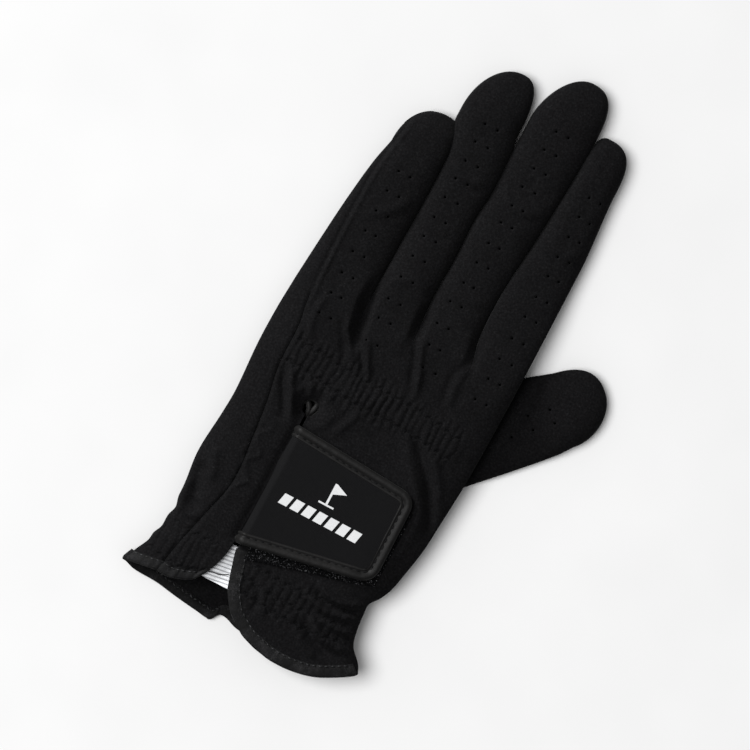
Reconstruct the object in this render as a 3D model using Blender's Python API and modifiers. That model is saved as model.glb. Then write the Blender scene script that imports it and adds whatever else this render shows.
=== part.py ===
"""A left-hand golf glove lying palm down: +Z up, +Y to the fingertips, +X to the thumb side.

Plan sizes are written in millimetres from the middle of the palm and turned into metres by at(),
which also moves the origin to the middle of the glove's footprint, on the surface it lies on.
"""
import math

import bmesh
import bpy
from mathutils import Vector

MM = 0.001
FOOTPRINT_CENTRE = (16.9, 11.1)

PANEL = 0.8          # thickness of leather and knit panels
GAP = 0.3            # space kept between neighbouring pieces
SEAM_GAP = 0.9       # space between the rims of two panels sewn edge to edge, whose thickness leans inwards
EDGE_GAP = 1.6       # the same along the index side, where both panels turn down steeply
TAPE = 0.5           # thickness of binding tape, elastic and lining

# Hand: edges of the flattened hand, as stops (y, x).
LEFT_EDGE = ((-112, -53.5), (-106, -50.6), (-95, -46.3), (-80, -43.6), (-58, -45.6), (-30, -44), (0, -45),
             (20, -44.2))
RIGHT_EDGE = ((-112, 47), (-104, 46.5), (-97, 41.5), (-80, 38.5), (-62, 44.5), (-40, 48), (0, 50),
              (20, 50.4))
SIDE_SEAM = ((-108, -38.5), (-76, -32), (-57, -28.8), (-28, -31.5), (0, -34.2), (20, -36.2))
SLIT_LEFT = ((-104, -23.5), (-96, -20.6), (-88, -18.3), (-78, -17.3), (-22, -16.6))
SLIT_RIGHT = ((-108, -7.6), (-97, -11.2), (-89, -13.6), (-82, -15.2), (-22, -15.1))
HEM_LEFT = ((0, -106), (0.5, -105.5), (1, -101.5))                       # (share of width, y)
HEM_RIGHT = ((0, -97), (0.07, -104), (0.18, -109), (0.45, -112.8), (0.75, -110.5), (1, -103))
HEM_PALM = ((0, -106.5), (0.4, -108.5), (1, -103))
TOP_LEFT_Z = 11.2
TOP_RIGHT_Z = 14.8
SIDE_LEFT_Z = 5.4
SIDE_RIGHT_Z = 10.6
FLAT_SHARE = 0.58    # share of the half width over which the hand is flat
THUMB_LIFT = 6.6     # how far the thumb underneath lifts the palm
CUFF_LIFT = 1.0

KEYHOLE = (-15.8, -22.5)
KEYHOLE_R = 3.3

# Fingers: the knuckle line they bend at, and each one's edges as stops (y, left x, right x).
KNUCKLE_Y = 20
TOP_GAP = 1.5        # half the opening on the back of the knuckle
PALM_GAP = 4.2       # half the opening on the palm side, room for the finger to curl
FINGER_TOP_Z = 10.2
FINGERS = {
    "pinky": {"edges": ((20, -43.8, -15.0), (50, -41.3, -15.6), (84, -36.2, -13.9)), "tip": (-25, 100),
              "walls": (False, True)},
    "ring": {"edges": ((20, -14.2, 5.4), (50, -14.5, 5.1), (88, -12.9, 6.0), (108, -17.6, 5.8)),
             "tip": (-3.4, 127.2), "walls": (True, True)},
    "middle": {"edges": ((20, 6.4, 28.4), (50, 6.3, 28.0), (88, 7.0, 31.0), (116, 7.7, 32.4)),
               "tip": (22, 136.4), "walls": (True, True)},
    "index": {"edges": ((20, 29.4, 50.2), (50, 29.0, 50.3), (88, 32.0, 49.8), (105, 33.3, 48.6)),
              "tip": (40, 120.4), "walls": (True, False)},
}
LOWER_SHARE = 0.30   # side walls of a finger stand between these shares of its height
UPPER_SHARE = 0.70

# Thumb: a flat tube that lies under the index side of the hand, in its own frame (along, across).
THUMB_PIVOT = (40, -7.7)
THUMB_ANGLE = math.radians(43)
THUMB_ROOT = (-2, -6)    # where the open root lies, on the index side and on the cuff side
THUMB_EDGES = ((-6, -17.0, 13.5), (4, -16.8, 15.4), (22, -15.7, 16.4), (40, -14.4, 15.0))
THUMB_TIP = (55.7, 1)
THUMB_Z = 6.1
THUMB_TIP_Z = 7.8

# Closure tab: hinged at the slit, laid over the back of the hand.
TAB_X = -15.5
TAB_HINGE_LIFT = 2.2
TAB_TOP = ((-13, -32.2), (15, -33), (30.5, -34.8))
TAB_BOTTOM = ((-13, -77.7), (14, -71.8), (30.5, -68.4))
TAB_RIGHT_X = 34.6
TAB_CORNER = 4.6
PIPING_R = 1.2


def smooth(t):
    t = min(max(t, 0.0), 1.0)
    return t * t * (3 - 2 * t)


def mix(a, b, t):
    return a + (b - a) * t


def through(stops, t, column=1):
    """A smooth curve through stops, read at t. Each stop is (t, value, ...)."""
    if t <= stops[0][0]:
        return stops[0][column]
    if t >= stops[-1][0]:
        return stops[-1][column]
    i = max(k for k in range(len(stops) - 1) if stops[k][0] <= t)
    span = stops[i + 1][0] - stops[i][0]
    rise = stops[i + 1][column] - stops[i][column]

    def slope(k):
        if k <= 0 or k >= len(stops) - 1:
            return rise / span
        return (stops[k + 1][column] - stops[k - 1][column]) / (stops[k + 1][0] - stops[k - 1][0])

    f = (t - stops[i][0]) / span
    a, b = slope(i) * span, slope(i + 1) * span
    return (stops[i][column] + f * a + f * f * (3 * rise - 2 * a - b) + f * f * f * (a + b - 2 * rise))


def at(x, y, z):
    """A point of the model, in metres, from plan millimetres."""
    return Vector(((x - FOOTPRINT_CENTRE[0]) * MM, (y - FOOTPRINT_CENTRE[1]) * MM, z * MM))


def round_steps(n):
    """2n + 1 places from -1 to 1, closer together at both ends, for a section that turns down there."""
    return [math.sin(math.pi / 2 * k / n) for k in range(-n, n + 1)]


# ---- the flattened hand ---------------------------------------------------------------------------

def lift(x, y):
    """Height of the hand's underside where it lies over the thumb."""
    across = smooth((x - 13) / 13)
    along = smooth((y + 56) / 22) * (1 - smooth((y - 40) / 35))
    return THUMB_LIFT * across * along


def hand_edges(y):
    return through(LEFT_EDGE, y), through(RIGHT_EDGE, y)


def hand_share(x, y):
    """-1 at the hand's left edge, 1 at its right edge."""
    left, right = hand_edges(y)
    return min(max((2 * x - left - right) / (right - left), -1.0), 1.0)


def turn_down(u):
    """1 over the flat of the hand, falling along a quarter circle to 0 at its edge."""
    e = max(0.0, (abs(u) - FLAT_SHARE) / (1 - FLAT_SHARE))
    return math.sqrt(max(0.0, 1 - e * e))


def hand_side(u):
    return mix(SIDE_LEFT_Z, SIDE_RIGHT_Z, (u + 1) / 2)


def hand_top(x, y):
    u = hand_share(x, y)
    crown = mix(TOP_LEFT_Z, TOP_RIGHT_Z, (u + 1) / 2)
    return mix(hand_side(u), crown, turn_down(u))


def hand_bottom(x, y):
    u = hand_share(x, y)
    floor = lift(x, y) + CUFF_LIFT * smooth((-94 - y) / 8)
    return mix(hand_side(u), floor, turn_down(u))


def front_y(x, z):
    """Where the hand ends before the fingers: a V opening around the knuckle line."""
    middle = (hand_top(x, KNUCKLE_Y) + hand_bottom(x, KNUCKLE_Y)) / 2
    reach = TOP_GAP if z > middle else PALM_GAP
    return KNUCKLE_Y - mix(1.2, reach, min(1, abs(z - middle) / 4))


# ---- making objects -------------------------------------------------------------------------------

def material(name, colour, roughness, metallic=0.0):
    made = bpy.data.materials.new(name)
    made.use_nodes = True
    shader = made.node_tree.nodes["Principled BSDF"]
    shader.inputs["Base Color"].default_value = (*colour, 1)
    shader.inputs["Roughness"].default_value = roughness
    shader.inputs["Metallic"].default_value = metallic
    return made


def add(name, mesh, look):
    piece = bpy.data.objects.new(name, mesh)
    GLOVE.objects.link(piece)
    mesh.materials.append(look)
    return piece


def sheet(name, rows, look, thickness=PANEL, upwards=False, left_out=()):
    """A panel: the open surface through rows of points, thickened away from or towards its normal."""
    mesh = bpy.data.meshes.new(name)
    bm = bmesh.new()
    grid = [[bm.verts.new(p) for p in row] for row in rows]
    for i in range(len(rows) - 1):
        for j in range(len(rows[0]) - 1):
            if (i, j) not in left_out:
                bm.faces.new((grid[i][j], grid[i][j + 1], grid[i + 1][j + 1], grid[i + 1][j]))
    loose = [v for v in bm.verts if not v.link_faces]
    bmesh.ops.delete(bm, geom=loose, context="VERTS")
    bm.to_mesh(mesh)
    bm.free()
    mesh.shade_smooth()
    piece = add(name, mesh, look)
    shell = piece.modifiers.new("thickness", "SOLIDIFY")
    shell.thickness = thickness * MM
    shell.offset = 1 if upwards else -1
    shell.use_even_offset = True
    return piece


def sweep(name, path, section, look):
    """A folded tape carried along a path of (point, outward direction).

    The section lists the tape's outer face and then its inner face back again.
    """
    mesh = bpy.data.meshes.new(name)
    bm = bmesh.new()
    rings = []
    for point, outward in path:
        corners = [point + outward * (a * MM) + Vector((0, 0, b * MM)) for a, b in section]
        rings.append([bm.verts.new(corner) for corner in corners])
    n = len(section)
    for first, second in zip(rings, rings[1:]):
        for k in range(n):
            bm.faces.new((first[k], first[(k + 1) % n], second[(k + 1) % n], second[k]))
    for ring in (rings[0], rings[-1]):
        for k in range(n // 2 - 1):
            bm.faces.new((ring[k], ring[k + 1], ring[n - 2 - k], ring[n - 1 - k]))
    bmesh.ops.recalc_face_normals(bm, faces=bm.faces)
    bm.to_mesh(mesh)
    bm.free()
    return add(name, mesh, look)


def hinge_empty(name, pivot, pieces):
    """An empty on a joint's axis that carries the pieces which turn about it."""
    empty = bpy.data.objects.new(name, None)
    GLOVE.objects.link(empty)
    empty.location = pivot
    for piece in pieces:
        piece.parent = empty
        piece.location = -pivot


# ---- hand pieces ----------------------------------------------------------------------------------

def back_panel():
    """The back of the hand in one piece, slit from the cuff up to a round keyhole."""
    left_shares = (0, 0.34, 0.68, 1)
    right_shares = (0, 0.07, 0.18, 0.34, 0.52, 0.68, 0.78, 0.86, 0.93, 0.98, 1)
    slit_rows = (1, 0.92, 0.8, 0.6, 0.4, 0.2, 0)
    front_rows = (0.25, 0.5, 0.75, 1)

    def left_point(y, share):
        x = mix(through(SIDE_SEAM, y), through(SLIT_LEFT, y), share)
        return at(x, y, hand_top(x, y))

    def right_point(y, share):
        x = mix(through(SLIT_RIGHT, y), through(RIGHT_EDGE, y), share)
        above_seam = EDGE_GAP / 2 if share == 1 else 0
        return at(x, y, hand_top(x, y) + above_seam)

    rows = []
    for t in slit_rows:
        row = [left_point(mix(KEYHOLE[1], through(HEM_LEFT, share), t), share) for share in left_shares]
        row += [right_point(mix(KEYHOLE[1], through(HEM_RIGHT, share), t), share) for share in right_shares]
        rows.append(row)
    for t in front_rows:
        y = mix(KEYHOLE[1], KNUCKLE_Y - TOP_GAP, t)
        row = [left_point(y, share) for share in left_shares]
        row += [right_point(y, share) for share in right_shares]
        rows.append(row)
    slit = {(i, len(left_shares) - 1) for i in range(len(slit_rows) - 1)}
    panel = sheet("back_panel", rows, SUEDE, left_out=slit)

    bpy.ops.mesh.primitive_cylinder_add(vertices=20, radius=KEYHOLE_R * MM, depth=8 * MM)
    cutter = bpy.context.object
    cutter.name = "keyhole_cutter"
    cutter.location = at(*KEYHOLE, hand_top(*KEYHOLE))
    cutter.hide_render = True
    cutter.display_type = "WIRE"
    for used in cutter.users_collection:
        used.objects.unlink(cutter)
    CUTTERS.objects.link(cutter)
    cut = panel.modifiers.new("keyhole", "BOOLEAN")
    cut.operation = "DIFFERENCE"
    cut.object = cutter
    return panel


def palm_panel():
    """The palm, wrapped round the little finger's side and over the back as far as the side seam."""
    bottom_shares = (-0.97, -0.88, -0.75, -FLAT_SHARE, -0.3, 0.0, 0.22, 0.32, 0.41, 0.5, FLAT_SHARE,
                     0.75, 0.88, 0.97)
    rows = []
    for t in (0, 0.06, 0.14, 0.28, 0.42, 0.5, 0.58, 0.65, 0.72, 0.79, 0.86, 0.93, 1):
        def spread(x_of, z_of, share):
            """The point of this row at a share of the width, between the hem and the knuckles."""
            y = mix(-60, KNUCKLE_Y, t)
            for _ in range(3):
                z = z_of(x_of(y), y)
                y = mix(through(HEM_PALM, (share + 1) / 2), front_y(x_of(y), z), t)
            return at(x_of(y), y, z_of(x_of(y), y))

        def across(share):
            return lambda y: mix(*hand_edges(y), (share + 1) / 2)

        row = [spread(lambda y: through(SIDE_SEAM, y) - SEAM_GAP, hand_top, -0.8)]
        row.append(spread(lambda y: mix(through(SIDE_SEAM, y), hand_edges(y)[0], 0.5), hand_top, -0.9))
        row.append(spread(across(-0.96), hand_top, -0.96))
        row.append(spread(across(-1), hand_top, -1))
        row += [spread(across(share), hand_bottom, share) for share in bottom_shares]
        row.append(spread(across(1), lambda x, y: hand_bottom(x, y) - EDGE_GAP / 2, 1))
        rows.append(row)
    rows = [row[::-1] for row in rows]
    thumb_hole = {(i, j) for i in (6, 7, 8, 9) for j in (4, 5, 6)}
    return sheet("palm_panel", rows, SUEDE, left_out=thumb_hole)


def along_hem(places, height):
    """Turns plan places into a sweep's path, the panel lying to the left of the way along it."""
    path = []
    for k, place in enumerate(places):
        before = places[max(k - 1, 0)]
        after = places[min(k + 1, len(places) - 1)]
        run = (after - before).normalized()
        path.append((at(place.x, place.y, height(place.x, place.y)), Vector((run.y, -run.x, 0))))
    return path


def tape_section(width):
    """A tape folded over a panel's edge, in (outwards, up) from the panel's top edge."""
    over = GAP + TAPE
    under = -PANEL - GAP - TAPE
    return ((-width, over), (over, over), (over, under), (-width, under),
            (-width, under + TAPE), (GAP, under + TAPE), (GAP, GAP), (-width, GAP))


def cuff_bindings():
    def on_left(share):
        y = through(HEM_LEFT, share)
        return Vector((mix(through(SIDE_SEAM, y), through(SLIT_LEFT, y), share), y, 0))

    def on_right(share):
        y = through(HEM_RIGHT, share)
        return Vector((mix(through(SLIT_RIGHT, y), through(RIGHT_EDGE, y), share), y, 0))

    def on_palm(share):
        y = through(HEM_PALM, (share + 1) / 2)
        return Vector((mix(*hand_edges(y), (share + 1) / 2), y, 0))

    left = [on_left(share) for share in (0.03, 0.25, 0.5, 0.75, 0.97)]
    slit = [Vector((through(SLIT_RIGHT, y), y, 0)) for y in (-84, -88, -92, -95)]
    right = [on_right(share) for share in (0.0, 0.035, 0.07, 0.12, 0.18, 0.3, 0.45, 0.6, 0.75, 0.88)]
    palm = [on_palm(share) for share in (-0.75, -0.5, -0.2, 0.1, 0.4, 0.6, 0.75)]

    def palm_inside(x, y):
        return hand_bottom(x, y) + PANEL

    sweep("cuff_binding_back_left", along_hem(left, hand_top), tape_section(3.6), SATIN)
    sweep("cuff_binding_back_right", along_hem(slit + right, hand_top), tape_section(4.4), SATIN)
    sweep("cuff_binding_palm", along_hem(palm, palm_inside), tape_section(3.6), SATIN)


def skin_strip(name, x_span, y_span, drop, thickness, look, upwards=False, columns=8, rows=2):
    """A strip that follows the back of the hand at a height above it, or below it where drop is negative.

    Either span may be a pair of numbers, or y_span a pair of stops that give y at an x.
    """
    points = []
    for i in range(rows + 1):
        row = []
        for j in range(columns + 1):
            x = mix(*x_span, j / columns)
            low, high = (through(y, x) if isinstance(y, tuple) else y for y in y_span)
            y = mix(low, high, i / rows)
            row.append(at(x, y, hand_top(x, y) + drop))
        points.append(row)
    return sheet(name, points, look, thickness, upwards)


def hand_trim():
    inside = -PANEL - GAP
    skin_strip("knuckle_elastic", (-29, 40), (-14.5, -4), inside, TAPE, ELASTIC)
    skin_strip("wrist_elastic_right", (-3, 33), (-96, -86), inside, TAPE, ELASTIC)
    skin_strip("wrist_elastic_left", (-31, -22), (-92, -84), inside, TAPE, ELASTIC, columns=3)
    skin_strip("slit_facing", (-14.2, -9.5), (-78, -28), inside, TAPE, KNIT, columns=1, rows=3)
    skin_strip("tab_anchor", (-26, -17.8), (-78, -33), inside, PANEL, KNIT, columns=2, rows=2)
    skin_strip("care_label", (-20.5, -6.5), (-98, -82), inside - TAPE - GAP, TAPE, LABEL, columns=2)
    loop_low = ((-10, -83.6), (15, -76.2), (36, -70.2))
    skin_strip("loop_pad", (-10, 36), (loop_low, -40), GAP, 0.6, LOOP, upwards=True)

    bpy.ops.mesh.primitive_torus_add(major_segments=20, minor_segments=8, major_radius=4.1 * MM,
                                     minor_radius=0.45 * MM)
    rim = bpy.context.object
    rim.name = "keyhole_rim"
    rim.location = at(*KEYHOLE, hand_top(*KEYHOLE) + GAP + 0.55)
    rim.data.materials.append(SATIN)
    rim.data.shade_smooth()
    for used in rim.users_collection:
        used.objects.unlink(rim)
    GLOVE.objects.link(rim)


# ---- fingers --------------------------------------------------------------------------------------

def dome(t):
    return (1 - t ** 2.5) ** (1 / 2.5)


def tube_stations(edges, tip, top_z, bottom_z, start):
    """Stations (along, left, right, top, bottom, tip share) of a flattened tube that ends in a dome."""
    first, last = start, edges[-1][0]
    stations = []
    count = 6
    for k in range(count + 1):
        y = mix(first, last, k / count)
        stations.append([y, through(edges, y), through(edges, y, 2), top_z(y), bottom_z(y), 0.0])
    middle = (edges[-1][1] + edges[-1][2]) / 2
    half = (edges[-1][2] - edges[-1][1]) / 2
    for t in (0.3, 0.55, 0.75, 0.89, 0.97):
        y = mix(last, tip[1], t)
        centre = mix(middle, tip[0], t * t)
        stations.append([y, centre - half * dome(t), centre + half * dome(t), top_z(y), bottom_z(y), t])
    return stations


def tube_row(station, part, walls, plan, root=None):
    """One row of points of a tube's back or palm shell."""
    along, left, right, top, bottom, tip = station
    height = top - bottom
    middle = bottom + height / 2
    closing = smooth(tip / 0.3)
    shares = {"back": UPPER_SHARE, "palm": LOWER_SHARE}
    row = []
    for u in round_steps(5):
        wall = walls[0] if u < 0 else walls[1]
        seam = bottom + height * (shares[part] if wall else UPPER_SHARE)
        seam += SEAM_GAP / 2 if part == "back" else -SEAM_GAP / 2
        meeting = middle + (SEAM_GAP / 2 if part == "back" else -SEAM_GAP / 2)
        edge = mix(seam, meeting, closing)
        e = max(0.0, (abs(u) - 0.35) / 0.65)
        arch = math.sqrt(max(0.0, 1 - e ** 2.4))
        far = top if part == "back" else bottom
        far = middle + (far - middle) * dome(tip)
        z = mix(edge, far, arch)
        y = along if root is None else root(z, u)
        row.append(plan(mix(left, right, (u + 1) / 2), y, z))
    return row


def tube(name, edges, tip, top_z, bottom_z, walls, plan, start, root):
    """The back and palm shells and the side walls of a finger or thumb."""
    stations = tube_stations(edges, tip, top_z, bottom_z, start)
    back = [tube_row(s, "back", walls, plan, root if k == 0 else None) for k, s in enumerate(stations)]
    palm = [tube_row(s, "palm", walls, plan, root if k == 0 else None) for k, s in enumerate(stations)]
    pieces = [sheet(name + "_back", back, SUEDE), sheet(name + "_palm", [row[::-1] for row in palm], SUEDE)]
    for side, has_wall in zip((0, 1), walls):
        if not has_wall:
            continue
        rows = []
        for k, station in enumerate(stations):
            along, left, right, top, bottom, tip_share = station
            if tip_share > 0:
                break
            x = (left, right)[side]
            low = bottom + (top - bottom) * LOWER_SHARE + GAP
            high = bottom + (top - bottom) * UPPER_SHARE - GAP
            if k == 0 and root is not None:
                along += 2.2
            rows.append([plan(x, along, mix(low, high, s)) for s in ((1, 0) if side else (0, 1))])
        wall_name = name + ("_side_wall" if sum(walls) == 1 else ("_left_wall", "_right_wall")[side])
        pieces.append(sheet(wall_name, rows, KNIT, thickness=TAPE))
    return pieces


def fingers():
    for name, finger in FINGERS.items():
        edges = finger["edges"]
        root_x = (edges[0][1] + edges[0][2]) / 2
        root_top = hand_top(root_x, KNUCKLE_Y)
        pivot_z = (root_top + lift(root_x, KNUCKLE_Y)) / 2

        def top_z(y):
            return mix(root_top, FINGER_TOP_Z, smooth((y - KNUCKLE_Y) / 50))

        def bottom_z(y):
            return lift(root_x, y)

        def root(z, u):
            reach = TOP_GAP if z > pivot_z else PALM_GAP
            return KNUCKLE_Y + mix(1.2, reach, min(1, abs(z - pivot_z) / 4))

        pieces = tube(name, edges, finger["tip"], top_z, bottom_z, finger["walls"], at, KNUCKLE_Y, root)
        hinge_empty(name + "_knuckle", at(root_x, KNUCKLE_Y, pivot_z), pieces)


def thumb():
    cos, sin = math.cos(THUMB_ANGLE), math.sin(THUMB_ANGLE)

    def plan(across, along, z):
        """Thumb frame to model: along runs to the thumb's tip, across to its index side."""
        x = THUMB_PIVOT[0] + along * cos + across * sin
        y = THUMB_PIVOT[1] + along * sin - across * cos
        return at(x, y, z)

    def top_z(along):
        return mix(THUMB_Z, THUMB_TIP_Z, smooth((along - 34) / 12))

    edges = tuple((s, -high, -low) for s, low, high in THUMB_EDGES)
    tip = (-THUMB_TIP[1], THUMB_TIP[0])

    def root(z, u):
        return mix(*THUMB_ROOT, (u + 1) / 2)

    pieces = tube("thumb", edges, tip, top_z, lambda along: 0.0, (True, False), plan, edges[0][0], root)
    hinge_empty("thumb_root", at(*THUMB_PIVOT, THUMB_Z / 2), pieces)


# ---- closure tab ----------------------------------------------------------------------------------

def tab_outline(inset):
    """Top, right and bottom sides of the tab as rows of a grid: y limits at each x, corners rounded."""
    right = TAB_RIGHT_X - inset
    corner = max(TAB_CORNER - inset, 0.5)
    columns = [mix(-13, right - corner, k / 6) for k in range(7)]
    columns += [right - corner + corner * math.sin(math.radians(a)) for a in (30, 55, 75, 90)]
    limits = []
    for x in columns:
        over = max(0.0, x - (right - corner)) / corner
        cut = corner * (1 - math.sqrt(max(0.0, 1 - over * over)))
        limits.append((x, through(TAB_BOTTOM, x) + inset + cut, through(TAB_TOP, x) - inset - cut))
    return limits


def tab_layer(name, inset, rise, thickness, look):
    rows = []
    for k in range(4):
        row = []
        for x, low, high in tab_outline(inset):
            y = mix(low, high, k / 3)
            row.append(at(x, y, hand_top(x, y) + rise))
        rows.append(row)
    return sheet(name, rows, look, thickness, upwards=True)


def tab():
    pieces = [tab_layer("tab_backing", 1.6, 2.0, 0.4, KNIT), tab_layer("tab_face", 1.6, 2.7, 0.4, FABRIC)]
    hook_low = ((8, -69.5), (31, -64.6))
    hook_high = ((8, -38), (31, -40))
    pieces.append(skin_strip("tab_hook_pad", (8, 31), (hook_low, hook_high), 1.2, 0.5, HOOK, upwards=True))
    pieces.append(tab_piping())
    pieces.append(tab_emblem())
    y = (TAB_TOP[0][1] + TAB_BOTTOM[0][1]) / 2
    hinge_empty("tab_fold", at(TAB_X, y, hand_top(TAB_X, y) + TAB_HINGE_LIFT), pieces)


def tab_piping():
    """The rolled edge along the tab's top, right and bottom sides."""
    limits = tab_outline(0)
    top = [(x, high) for x, low, high in limits]
    bottom = [(x, low) for x, low, high in limits]
    curve = bpy.data.curves.new("tab_piping", "CURVE")
    curve.dimensions = "3D"
    curve.bevel_depth = PIPING_R * MM
    curve.bevel_resolution = 2
    curve.use_fill_caps = True
    path = top + bottom[::-1]
    spline = curve.splines.new("POLY")
    spline.points.add(len(path) - 1)
    for point, (x, y) in zip(spline.points, path):
        point.co = (*at(x, y, hand_top(x, y) + 2.55), 1)
    piece = bpy.data.objects.new("tab_piping", curve)
    GLOVE.objects.link(piece)
    curve.materials.append(SATIN)
    return piece


def tab_emblem():
    """A plain pennant on a pole, a raised print on the tab's face."""
    outline = ((-1, -6.5), (-1, 5.5), (6.5, 2.6), (0, -0.2), (0, -6.5))
    centre = (6, -51)
    mesh = bpy.data.meshes.new("tab_emblem")
    bm = bmesh.new()
    corners = [bm.verts.new(at(centre[0] + x, centre[1] + y, hand_top(*centre) + 3.4)) for x, y in outline]
    bm.faces.new(corners[::-1])
    bm.normal_update()
    if bm.faces[:][0].normal.z < 0:
        bmesh.ops.reverse_faces(bm, faces=bm.faces)
    bm.to_mesh(mesh)
    bm.free()
    piece = add("tab_emblem", mesh, PRINT)
    raised = piece.modifiers.new("thickness", "SOLIDIFY")
    raised.thickness = 0.2 * MM
    raised.offset = 1
    return piece


for old in list(bpy.data.objects):
    bpy.data.objects.remove(old)
GLOVE = bpy.data.collections.new("golf_glove")
CUTTERS = bpy.data.collections.new("cutters")
bpy.context.scene.collection.children.link(GLOVE)
bpy.context.scene.collection.children.link(CUTTERS)

SUEDE = material("black_microsuede", (0.012, 0.012, 0.014), 0.85)
KNIT = material("black_stretch_knit", (0.014, 0.014, 0.016), 0.9)
SATIN = material("satin_binding", (0.02, 0.02, 0.022), 0.42)
FABRIC = material("tab_fabric", (0.013, 0.013, 0.015), 0.8)
ELASTIC = material("elastic_tape", (0.02, 0.02, 0.02), 0.8)
LOOP = material("loop_pile", (0.012, 0.012, 0.012), 0.95)
HOOK = material("hook_tape", (0.02, 0.02, 0.02), 0.5)
LABEL = material("white_ribbed_lining", (0.75, 0.75, 0.74), 0.8)
PRINT = material("silver_print", (0.55, 0.56, 0.58), 0.35)

back_panel()
palm_panel()
cuff_bindings()
hand_trim()
fingers()
thumb()
tab()
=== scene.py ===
"""The golf glove's looks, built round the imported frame.

Plan measures are in millimetres from the middle of the palm (x to the thumb side, y to the fingertips),
the way the glove is drawn flat; metres() moves them into the frame by the keyhole's place in it.
Surfaces are fine grids of points: a smooth base that follows the frame's solids, plus relief for what the
cloth does (gathers, folds, sewn channels), holes where it is perforated, and a thickness.
"""
import math

import bmesh
import bpy
import numpy as np
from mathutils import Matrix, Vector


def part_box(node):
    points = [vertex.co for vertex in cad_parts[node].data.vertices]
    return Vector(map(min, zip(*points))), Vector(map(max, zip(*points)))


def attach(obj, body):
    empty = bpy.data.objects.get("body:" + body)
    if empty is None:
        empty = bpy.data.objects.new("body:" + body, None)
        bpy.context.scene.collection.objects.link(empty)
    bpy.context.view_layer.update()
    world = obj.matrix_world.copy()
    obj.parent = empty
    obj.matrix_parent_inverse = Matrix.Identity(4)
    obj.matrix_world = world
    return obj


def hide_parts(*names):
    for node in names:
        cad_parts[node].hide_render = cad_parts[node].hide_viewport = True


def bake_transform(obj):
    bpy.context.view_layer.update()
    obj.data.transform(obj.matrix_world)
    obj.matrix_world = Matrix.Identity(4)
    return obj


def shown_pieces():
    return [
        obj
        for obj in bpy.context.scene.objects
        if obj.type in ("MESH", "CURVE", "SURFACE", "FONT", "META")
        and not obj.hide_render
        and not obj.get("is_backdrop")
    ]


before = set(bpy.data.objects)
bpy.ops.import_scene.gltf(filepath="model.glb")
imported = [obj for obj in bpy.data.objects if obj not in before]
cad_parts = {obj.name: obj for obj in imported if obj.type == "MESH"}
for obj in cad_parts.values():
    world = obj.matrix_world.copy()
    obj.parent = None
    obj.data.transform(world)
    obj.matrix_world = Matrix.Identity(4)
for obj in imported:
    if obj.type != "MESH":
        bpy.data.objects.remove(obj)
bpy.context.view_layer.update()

MM = 0.001
CLOTH = 0.7                 # thickness of suede and knit, mm
KEYHOLE = (-15.8, -22.5)
KEYHOLE_R = 3.2
ZIGZAG, ZIGZAG_PITCH = 0.8, 4.4     # half width and length of the zigzag that sews elastic down
RIB_PITCH, RIB_SLOPE = 1.5, 0.15    # the white lining's ribs: y = RIB_SLOPE x + a multiple of RIB_PITCH
JOIN_Y = 16.0               # the fingers' pieces start here, where they still move with the hand
COLUMNS = 48                # grid cells across each finger
ROW_PITCH = 0.48            # distance between a finger's rows of points
HOLE_R, HOLE_DIP = 0.43, 0.12       # a perforation's radius, and how far its edge is pressed in
TIP_OPEN = 0.03             # a tip never quite shuts, so that no face is a sliver
GUSSET = 0.45               # thickness of the fingers' side walls
WELD_GAP = 0.02             # points of a sheet that are closer together become one
LINING_DROP = 0.2           # gap between the back and a strip sewn under it
TAB_ROOT = -17.6            # x where the tab leaves the hand
TAB_CORNERS = ((TAB_ROOT, -30.3), (36.0, -33.7), (36.4, -70.2), (TAB_ROOT, -81.0))
TAB_ROUNDING = 6.5
EMBLEM_PLACE = (6.7, -47.8)
CAMERA_HEIGHT = 1.1975      # metres over the floor


def middle_of(node):
    low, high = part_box(node)
    return (low + high) / 2


RIM = middle_of("keyhole_rim")
SHIFT = np.array([RIM.x / MM - KEYHOLE[0], RIM.y / MM - KEYHOLE[1], 0.0])


def metres(points):
    """Places in the frame from plan millimetres; the last axis holds x, y and z."""
    return (np.asarray(points, float) + SHIFT) * MM


# ---- small maths ----------------------------------------------------------------------------------

def smooth(t):
    t = np.clip(t, 0, 1)
    return t * t * (3 - 2 * t)


def mix(a, b, t):
    return a + (b - a) * t


def curve(*stops):
    """A smooth function through stops (t, value) in rising order of t."""
    t = np.array([s[0] for s in stops], float)
    v = np.array([s[1] for s in stops], float)
    slope = np.empty_like(v)
    slope[1:-1] = (v[2:] - v[:-2]) / (t[2:] - t[:-2])
    slope[0] = (v[1] - v[0]) / (t[1] - t[0])
    slope[-1] = (v[-1] - v[-2]) / (t[-1] - t[-2])

    def read(q):
        q = np.clip(np.asarray(q, float), t[0], t[-1])
        i = np.clip(np.searchsorted(t, q, side="right") - 1, 0, len(t) - 2)
        h = t[i + 1] - t[i]
        s = (q - t[i]) / h
        rise = v[i + 1] - v[i]
        a, b = slope[i] * h, slope[i + 1] * h
        return v[i] + s * a + s * s * (3 * rise - 2 * a - b) + s ** 3 * (a + b - 2 * rise)

    return read


def noise(x, y, scale, seed):
    """Smooth noise from about -1 to 1 with features about scale millimetres across."""
    lattice = np.random.default_rng(seed).uniform(-1, 1, (64, 64))
    x, y = np.asarray(x) / scale, np.asarray(y) / scale
    i, j = np.floor(x).astype(int), np.floor(y).astype(int)
    fx, fy = smooth(x - i), smooth(y - j)
    a, b = lattice[i % 64, j % 64], lattice[(i + 1) % 64, j % 64]
    c, d = lattice[i % 64, (j + 1) % 64], lattice[(i + 1) % 64, (j + 1) % 64]
    return mix(mix(a, b, fx), mix(c, d, fx), fy)


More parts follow.
